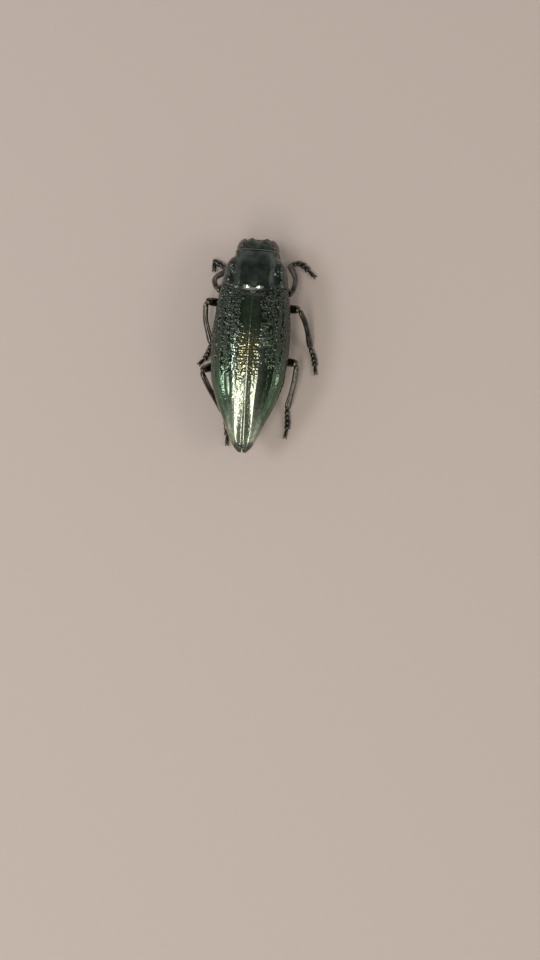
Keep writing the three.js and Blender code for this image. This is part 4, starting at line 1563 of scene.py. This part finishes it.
    def lip(self) -> None:
        """Builds and delivers the upper lip (labrum): a small rounded plate with a notch in its edge."""
        radius, shortened, thick = self.lip_size
        self.bench.deselect()
        bpy.ops.mesh.primitive_cylinder_add(vertices=40, radius=radius, depth=thick)
        piece = bpy.context.object
        co = self.bench.points(piece)
        co[:, 1] *= shortened
        half_width, depth = self.lip_notch
        co[:, 1] -= depth * bump(co[:, 0], 0, half_width) * (co[:, 1] > 0.1)
        self.bench.move(piece, co)
        self.bench.settle(piece, BEVEL={"width": self.lip_edge, "segments": 3, "limit_method": "ANGLE"})
        piece.rotation_euler = (self.lip_slope, 0, 0)
        middle, level = self.lip_middle
        piece.location = (0, middle, BODY.stance + level)
        self.bench.deliver(piece, "labrum", Slot.HORN, self.horn)

    def mouthparts(self) -> None:
        """Builds and delivers the chin with its two jointed palps."""
        chin, co = self.bench.ball(32, 24)
        half_width, depth = self.chin_notch
        co[:, 2] -= depth * bump(co[:, 0], 0, half_width)
        co *= self.chin_size
        middle, level = self.chin_middle
        self.bench.move(chin, co + (0, middle, BODY.stance + level))
        parts = [chin]
        for side in Side:
            line = LimbLine(self.above_floor(self.palp, side))
            third = line.length() / 3
            sections = [(0, 0.1, 0.1), (0.2 * third, 0.16, 0.15), (0.8 * third, 0.2, 0.18), (third, 0.12, 0.11)]
            joint = self.limbs.bar(sections, 1)
            joints = [joint] + [self.limbs.copy(joint, Matrix.Translation((n * third, 0, 0))) for n in (1, 2)]
            parts.append(self.limbs.bend(self.bench.join(joints), line))
        self.bench.deliver(self.bench.join(parts), "mouthparts", Slot.HORN, self.horn)

    def feelers(self) -> None:
        """Builds and delivers both feelers: eleven joints, all but the first three drawn out into a tooth."""
        for side in Side:
            line = LimbLine(self.above_floor(self.feeler, side))
            step = line.length() / self.feeler_joints
            sections = [(0, 0.13, 0.13), (0.2 * step, 0.2, 0.2), (0.75 * step, 0.3, 0.27), (0.97 * step, 0.2, 0.2)]
            plain = self.limbs.bar(sections, 1)
            toothed = self.limbs.copy(plain, Matrix.Identity(4))
            co = self.bench.points(toothed)
            start, end = (share * step for share in self.tooth_span)
            outer = np.clip(side.value * co[:, 1] / 0.3, 0, 1) * smooth_step(start, end, co[:, 0])
            reach, flattened = self.tooth
            co[:, 1] += side.value * reach * outer
            co[:, 2] *= 1 - flattened * outer
            self.bench.move(toothed, co)
            joints = []
            for n in range(self.feeler_joints):
                mould = plain if n < self.plain_joints else toothed
                taper = 1 - self.feeler_taper * max(n - self.even_joints, 0)
                place = Matrix.Translation((n * step, 0, 0)) @ Matrix.Diagonal((1, taper, taper, 1))
                joints.append(self.limbs.copy(mould, place))
            for mould in (plain, toothed):
                bpy.data.objects.remove(mould)
            piece = self.limbs.bend(self.bench.join(joints), line)
            self.bench.deliver(piece, f"antenna_{side.word}", Slot.HORN, self.horn)

    def build(self) -> None:
        """Builds the whole head."""
        self.capsule()
        self.eyes()
        self.jaws()
        self.lip()
        self.mouthparts()
        self.feelers()


# ---------------------------------------------------------------- legs


@dataclass(frozen=True)
class LegPlan:
    """One leg's joints: x outwards from the middle, s along the body, z above the floor."""

    pair: str
    side: Side
    coxa: Point
    knee: Point
    ankle: Point
    arch: Point
    bend: tuple[float, float]
    toe: tuple[float, float]

    @property
    def name(self) -> str:
        """The leg's name as the nodes have it."""
        return f"{self.pair}_{self.side.word}"

    def at(self, point: Sequence[float]) -> Vector:
        """Returns a joint where it lies on this leg's side."""
        return Vector((self.side.value * point[0], *point[1:]))


LEG_PLANS = (
    LegPlan(
        "front", Side.RIGHT, coxa=(1.3, 25.3, 2.2), knee=(5.3, 23.4, 3.7), ankle=(4.5, 28.4, 0.85),
        arch=(0.65, 0.1, 0.25), bend=(6.0, 28.85), toe=(8.2, 27.15),
    ),
    LegPlan(
        "front", Side.LEFT, coxa=(1.3, 25.3, 2.2), knee=(5.7, 23.3, 3.7), ankle=(4.4, 27.0, 0.85),
        arch=(1.05, 0.1, 0.4), bend=(6.8, 28.2), toe=(6.8, 27.15),
    ),
    LegPlan(
        "middle", Side.RIGHT, coxa=(1.5, 21.7, 2.1), knee=(6.6, 21.2, 3.95), ankle=(8.55, 16.4, 0.85),
        arch=(0.15, 0.35, 0.1), bend=(9.2, 15.0), toe=(9.6, 12.9),
    ),
    LegPlan(
        "middle", Side.LEFT, coxa=(1.5, 21.7, 2.1), knee=(7.05, 21.5, 3.95), ankle=(6.2, 15.9, 0.85),
        arch=(0.4, 0.1, 0.1), bend=(6.9, 14.0), toe=(7.75, 12.95),
    ),
    LegPlan(
        "hind", Side.RIGHT, coxa=(1.4, 14.3, 1.75), knee=(6.85, 13.45, 3.95), ankle=(5.85, 7.1, 0.85),
        arch=(0.2, 0.2, 0.15), bend=(6.1, 4.75), toe=(5.9, 3.1),
    ),
    LegPlan(
        "hind", Side.LEFT, coxa=(1.4, 14.3, 1.75), knee=(7.0, 11.45, 3.75), ankle=(3.4, 5.7, 0.85),
        arch=(0.25, 0.1, 0.15), bend=(2.85, 3.4), toe=(2.7, 1.35),
    ),
)  # fmt: skip


@dataclass
class Leg:
    """One leg: femur, tibia and foot, and the round coxa of a front or middle leg."""

    bench: Bench
    limbs: LimbMaker
    plan: LegPlan
    cuticle: Finish
    belly: Finish
    flat: float = 0.85
    hip_drop: float = 0.45
    femur_sag: float = 0.2
    heel_drop: float = 0.25
    coxa_radius: float = 0.82
    femur_width: ProfileLine = ProfileLine(
        (0, 0.2), (0.05, 0.33), (0.2, 0.5), (0.45, 0.68), (0.8, 0.62), (0.94, 0.55), (1, 0.34)
    )
    tibia_width: ProfileLine = ProfileLine(
        (0, 0.2), (0.05, 0.36), (0.15, 0.42), (0.6, 0.41), (0.9, 0.5), (0.97, 0.47), (1, 0.3)
    )
    shares: tuple[float, ...] = (
        0, 0.02, 0.05, 0.11, 0.18, 0.27, 0.36, 0.46, 0.55, 0.65, 0.75, 0.83, 0.9, 0.95, 0.985, 1
    )  # fmt: skip
    # The tibia's keels: degrees round it, half width as an angle, and height.
    keel_turns: tuple[float, float] = (52, 128)
    keel_half: float = 0.16
    keel_height: float = 0.06
    spur: tuple[Point, ...] = ((0, 0.09, 0.09), (0.15, 0.08, 0.08), (0.5, 0.015, 0.015))
    spur_aside: float = 0.2
    spur_root: float = 0.22
    sole_level: float = 0.27
    lobe_shape: tuple[Point, ...] = (
        (-0.15, 0.7, 0.5), (0.1, 0.8, 0.64), (0.45, 0.95, 0.74), (0.8, 1.08, 0.8), (1.0, 1.0, 0.66), (1.1, 0.66, 0.4)
    )
    lobe_growth: Span = (0.82, 0.09)
    floor_flat: Span = (0.002, 0.003)
    lobes: int = 4
    lobed: float = 0.72
    lobe: float = 0.47
    claw_length: float = 0.65
    claw_root: float = 0.35
    claw_spread: float = 0.24
    claw_width: ProfileLine = ProfileLine((0, 0.18), (0.6, 0.14), (1, 0.04))

    def coxa(self) -> None:
        """Builds and delivers the round coxa, with the furrow in which the femur's root turns."""
        piece, co = self.bench.ball(40, 28)
        furrow = bump(co[:, 0] * self.plan.side.value, 0.55, 0.12)
        pits = PitField(0.3, 0.12, 61)(np.arctan2(co[:, 1], co[:, 0]), co[:, 2])
        co *= (self.coxa_radius * (1 - 0.06 * furrow - 0.03 * pits))[:, None]
        co[:, 2] *= self.flat
        self.bench.move(piece, co + np.array(self.plan.at(self.plan.coxa)))
        self.bench.deliver(piece, f"coxa_{self.plan.name}", Slot.UNDERSIDE, self.belly)

    def keeled(self, piece: bpy.types.Object) -> bpy.types.Object:
        """Draws two keels along a straight limb, one to each side of its top.

        Args:
            piece: The limb.

        Returns:
            The same limb.
        """
        co = self.bench.points(piece)
        turn = np.arctan2(co[:, 2], co[:, 1])
        reach = np.hypot(co[:, 1], co[:, 2])
        keel = sum(bump(turn, math.radians(place), self.keel_half) for place in self.keel_turns)
        length = co[:, 0].max()
        keel *= smooth_step(0.04, 0.15, co[:, 0] / length) * smooth_step(1, 0.9, co[:, 0] / length)
        co[:, 1:] *= (1 + self.keel_height * (keel - 0.25) / reach.clip(0.1))[:, None]
        self.bench.move(piece, co)
        return piece

    def femur(self, hip: Vector, knee: Vector) -> None:
        """Builds and delivers the spindle-shaped femur.

        Args:
            hip: Where it starts, under the body.
            knee: Where it ends.
        """
        sag = hip.lerp(knee, 0.5) - Vector((0, 0, self.femur_sag))
        line = LimbLine((tuple(hip), tuple(sag), tuple(knee)))
        piece = self.limbs.turned(line, self.femur_width, self.flat, self.shares)
        self.bench.deliver(self.limbs.bend(piece, line), f"femur_{self.plan.name}", Slot.LEG, self.cuticle)

    def tibia(self, knee: Vector, ankle: Vector) -> None:
        """Builds and delivers the keeled tibia with the two spurs at its end.

        Args:
            knee: Where it starts.
            ankle: Where it ends.
        """
        shin = knee.lerp(ankle, 0.45) + self.plan.at(self.plan.arch)
        line = LimbLine((tuple(knee.lerp(ankle, 0.02)), tuple(shin), tuple(ankle)))
        length = line.length()
        parts = [self.keeled(self.limbs.turned(line, self.tibia_width, self.flat, self.shares))]
        for way in (-1, 1):
            spur = self.limbs.bar(self.spur, 1)
            root = (length - self.spur_root, way * self.spur_aside, -self.spur_root)
            spur.data.transform(Matrix.Translation(root))
            parts.append(spur)
        piece = self.limbs.bend(self.bench.join(parts), line)
        self.bench.deliver(piece, f"tibia_{self.plan.name}", Slot.LEG, self.cuticle)

    def claws(self, toe: Vector, ahead: Vector) -> list[bpy.types.Object]:
        """Makes the two hooked claws of a foot.

        Args:
            toe: The foot's end.
            ahead: The way that it points.

        Returns:
            The claws.
        """
        aside = Vector((-ahead.y, ahead.x, 0))
        claws = []
        for way in (1, -1):
            points = []
            for t in (0, 0.45, 0.85, 1):
                spot = toe + ahead * (t - self.claw_root) * self.claw_length + aside * way * self.claw_spread * t
                spot.z = toe.z + 0.08 + 0.12 * math.sin(math.pi * t) - 0.16 * t * t
                points.append(tuple(spot))
            line = LimbLine(tuple(points), 8)
            claw = self.limbs.turned(line, self.claw_width, 0.9, (0, 0.2, 0.5, 0.8, 1))
            claws.append(self.limbs.bend(claw, line))
        return claws

    def foot(self, ankle: Vector) -> None:
        """Builds and delivers the foot: four lobed joints, a slim one and two claws, flat on the floor.

        Args:
            ankle: The tibia's end, from which the foot hangs.
        """
        bend = self.plan.at((*self.plan.bend, self.sole_level))
        toe = self.plan.at((*self.plan.toe, self.sole_level))
        heel = ankle.lerp(bend, 0.03) - Vector((0, 0, self.heel_drop))
        line = LimbLine((tuple(heel), tuple(bend), tuple(toe)))
        length = line.length()
        step = length * self.lobed / self.lobes
        mould = self.limbs.bar(self.lobe_shape)
        parts = []
        first, growth = self.lobe_growth
        for n in range(self.lobes):
            size = self.lobe * min(first + growth * n, 1)
            place = Matrix.Translation((n * step, 0, 0)) @ Matrix.Diagonal((step, size, size, 1))
            parts.append(self.limbs.copy(mould, place))
        bpy.data.objects.remove(mould)
        slim = length * (1 - self.lobed)
        root, tip = (-0.1, 0.15, 0.14), (slim + 0.1, 0.12, 0.1)
        last = [root, (0.15 * slim, 0.24, 0.2), (0.7 * slim, 0.3, 0.25), (slim, 0.3, 0.23), tip]
        parts.append(self.limbs.bar([(length * self.lobed + place, wide, high) for place, wide, high in last]))
        foot = self.limbs.bend(self.bench.join(parts), line)

        piece = self.bench.join([foot, *self.claws(toe, (toe - bend).normalized())])
        self.bench.pick(piece)
        self.bench.edit()
        cut, flat = self.floor_flat
        bpy.ops.mesh.bisect(plane_co=(0, 0, cut), plane_no=(0, 0, 1), clear_inner=True, use_fill=True)
        bpy.ops.object.mode_set(mode="OBJECT")
        co = self.bench.points(piece)
        co[:, 2] = np.where(co[:, 2] < flat, 0, co[:, 2])
        self.bench.move(piece, co)
        self.bench.deliver(piece, f"tarsus_{self.plan.name}", Slot.LEG, self.cuticle)

    def build(self) -> None:
        """Builds the whole leg."""
        plan = self.plan
        if plan.pair != "hind":
            self.coxa()
        hip, knee, ankle = plan.at(plan.coxa), plan.at(plan.knee), plan.at(plan.ankle)
        self.femur(hip - Vector((0, 0, self.hip_drop)), knee)
        self.tibia(knee, ankle)
        self.foot(ankle)


# ---------------------------------------------------------------- the studio


@dataclass(frozen=True)
class Softbox:
    """A soft light above the beetle: how far it is tilted to the tail and sideways, in degrees, and its panel."""

    name: str
    tailward: float
    sideways: float
    distance: float
    size: tuple[float, float]
    power: float
    colour: str


@dataclass
class Studio:
    """A plain pale floor, a long softbox over the tail, a weak one to each side, and the camera."""

    bench: Bench
    floor: Finish
    floor_size: float = 1.6
    aim: Point = (0, 12, 5)
    camera_at: Point = (9.506, -3.483, 111.418)
    camera_turn: Point = (0.179, 2.738, 4.765)
    lens: float = 28.0
    sensor: float = 36.0
    lights: tuple[Softbox, ...] = (
        Softbox("long_softbox", 30.5, -9.5, 0.5, (0.095, 0.5), 0.72, "fffaf2"),
        Softbox("left_softbox", 6.0, -45.0, 0.5, (0.1, 0.2), 0.55, "f2f8ff"),
        Softbox("right_softbox", 6.0, 54.0, 0.5, (0.12, 0.2), 0.25, "fffdf6"),
    )
    room_colour: str = "e6e6e2"
    room_light: tuple[float, float] = (0.16, 0.97)
    room_heights: Span = (0.15, 0.85)

    def in_row(self, point: Point) -> Vector:
        """Returns a place given in the bench's millimetres in the model's own frame."""
        return Vector((point[0] * MM + self.bench.middle_x, point[1] * MM + self.bench.tips_y, point[2] * MM))

    def lay_floor(self) -> None:
        """Lays the floor."""
        self.bench.deselect()
        bpy.ops.mesh.primitive_plane_add(size=self.floor_size, location=(0, 0, 0))
        board = bpy.context.object
        board.name = "floor"
        board.data.materials.append(self.floor.material())

    def hang(self, light: Softbox) -> None:
        """Hangs one softbox, turned to the beetle.

        Args:
            light: The softbox.
        """
        data = bpy.data.lights.new(light.name, "AREA")
        data.shape, data.size, data.size_y = "RECTANGLE", *light.size
        data.energy, data.color = light.power, linear(light.colour)[:3]
        lamp = bpy.data.objects.new(light.name, data)
        tail, aside = math.radians(light.tailward), math.radians(light.sideways)
        away = Vector((math.tan(aside), -math.tan(tail), 1)).normalized()
        lamp.location = self.in_row(self.aim) + away * light.distance
        along = (Vector((0, 1, 0)) - away * away.y).normalized()
        across = along.cross(away)
        lamp.matrix_world = Matrix.Translation(lamp.location) @ Matrix((across, along, away)).transposed().to_4x4()
        bpy.context.scene.collection.objects.link(lamp)

    def light_room(self) -> None:
        """Gives the room its even light, dimmer overhead than round about."""
        world = bpy.data.worlds.new("room")
        world.use_nodes = True
        tree = world.node_tree
        height = add_node(tree, "SeparateXYZ", {0: add_node(tree, "TexCoord").outputs["Generated"]}).outputs[2]
        overhead, around = self.room_light
        low, high = self.room_heights
        strength = add_node(tree, "MapRange", {0: height, 1: low, 2: high, 3: around, 4: overhead})
        tree.links.new(strength.outputs[0], tree.nodes["Background"].inputs[1])
        tree.nodes["Background"].inputs[0].default_value = linear(self.room_colour)
        bpy.context.scene.world = world

    def place_camera(self) -> None:
        """Places the camera, which looks almost straight down."""
        data = bpy.data.cameras.new("camera")
        data.lens, data.sensor_width = self.lens, self.sensor
        data.clip_start, data.clip_end = 0.002, 20.0
        camera = bpy.data.objects.new("camera", data)
        camera.location = self.in_row(self.camera_at)
        camera.rotation_euler = Euler([math.radians(turn) for turn in self.camera_turn])
        bpy.context.scene.collection.objects.link(camera)
        bpy.context.scene.camera = camera

    def build(self) -> None:
        """Sets up everything round the beetle."""
        bpy.context.scene.view_settings.view_transform = "Standard"
        self.place_camera()
        self.lay_floor()
        for light in self.lights:
            self.hang(light)
        self.light_room()


def corners(bounds: tuple[Vector, Vector]) -> list[list[float]]:
    """Returns a box's two corners as plain lists."""
    return [list(corner) for corner in bounds]


def main() -> None:
    """Builds the studio and every piece of the beetle."""
    logging.basicConfig(level=logging.INFO, format="%(message)s", stream=sys.stdout)
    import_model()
    low_left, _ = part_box("elytron_left")
    low_right, high_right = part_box("elytron_right")
    bench = Bench((low_left.x + high_right.x) / 2, min(low_left.y, low_right.y))
    limbs = LimbMaker(bench)
    wing_case = MetallicWingCase(middle_x=bench.middle_x, tips_y=bench.tips_y)
    pronotum = PronotumCuticle(middle_x=bench.middle_x, tips_y=bench.tips_y)

    Studio(bench, PaleFloor()).build()
    for side in Side:
        WingCase(bench, wing_case, side).build()
    Shield(bench, SHIELD_HIGHLIGHT_CUTICLE).build()
    Prothorax(bench, pronotum, BRONZE_BELLY).build()
    Underside(bench, BRONZE_BELLY).build()
    Head(bench, limbs, BLACKISH, BLACK_HORN, FacetedEye()).build()
    for plan in LEG_PLANS:
        Leg(bench, limbs, plan, BRONZE_LEG, BRONZE_BELLY).build()
    LOG.info("%d pieces delivered", bench.delivered)


if __name__ == "__main__":
    main()
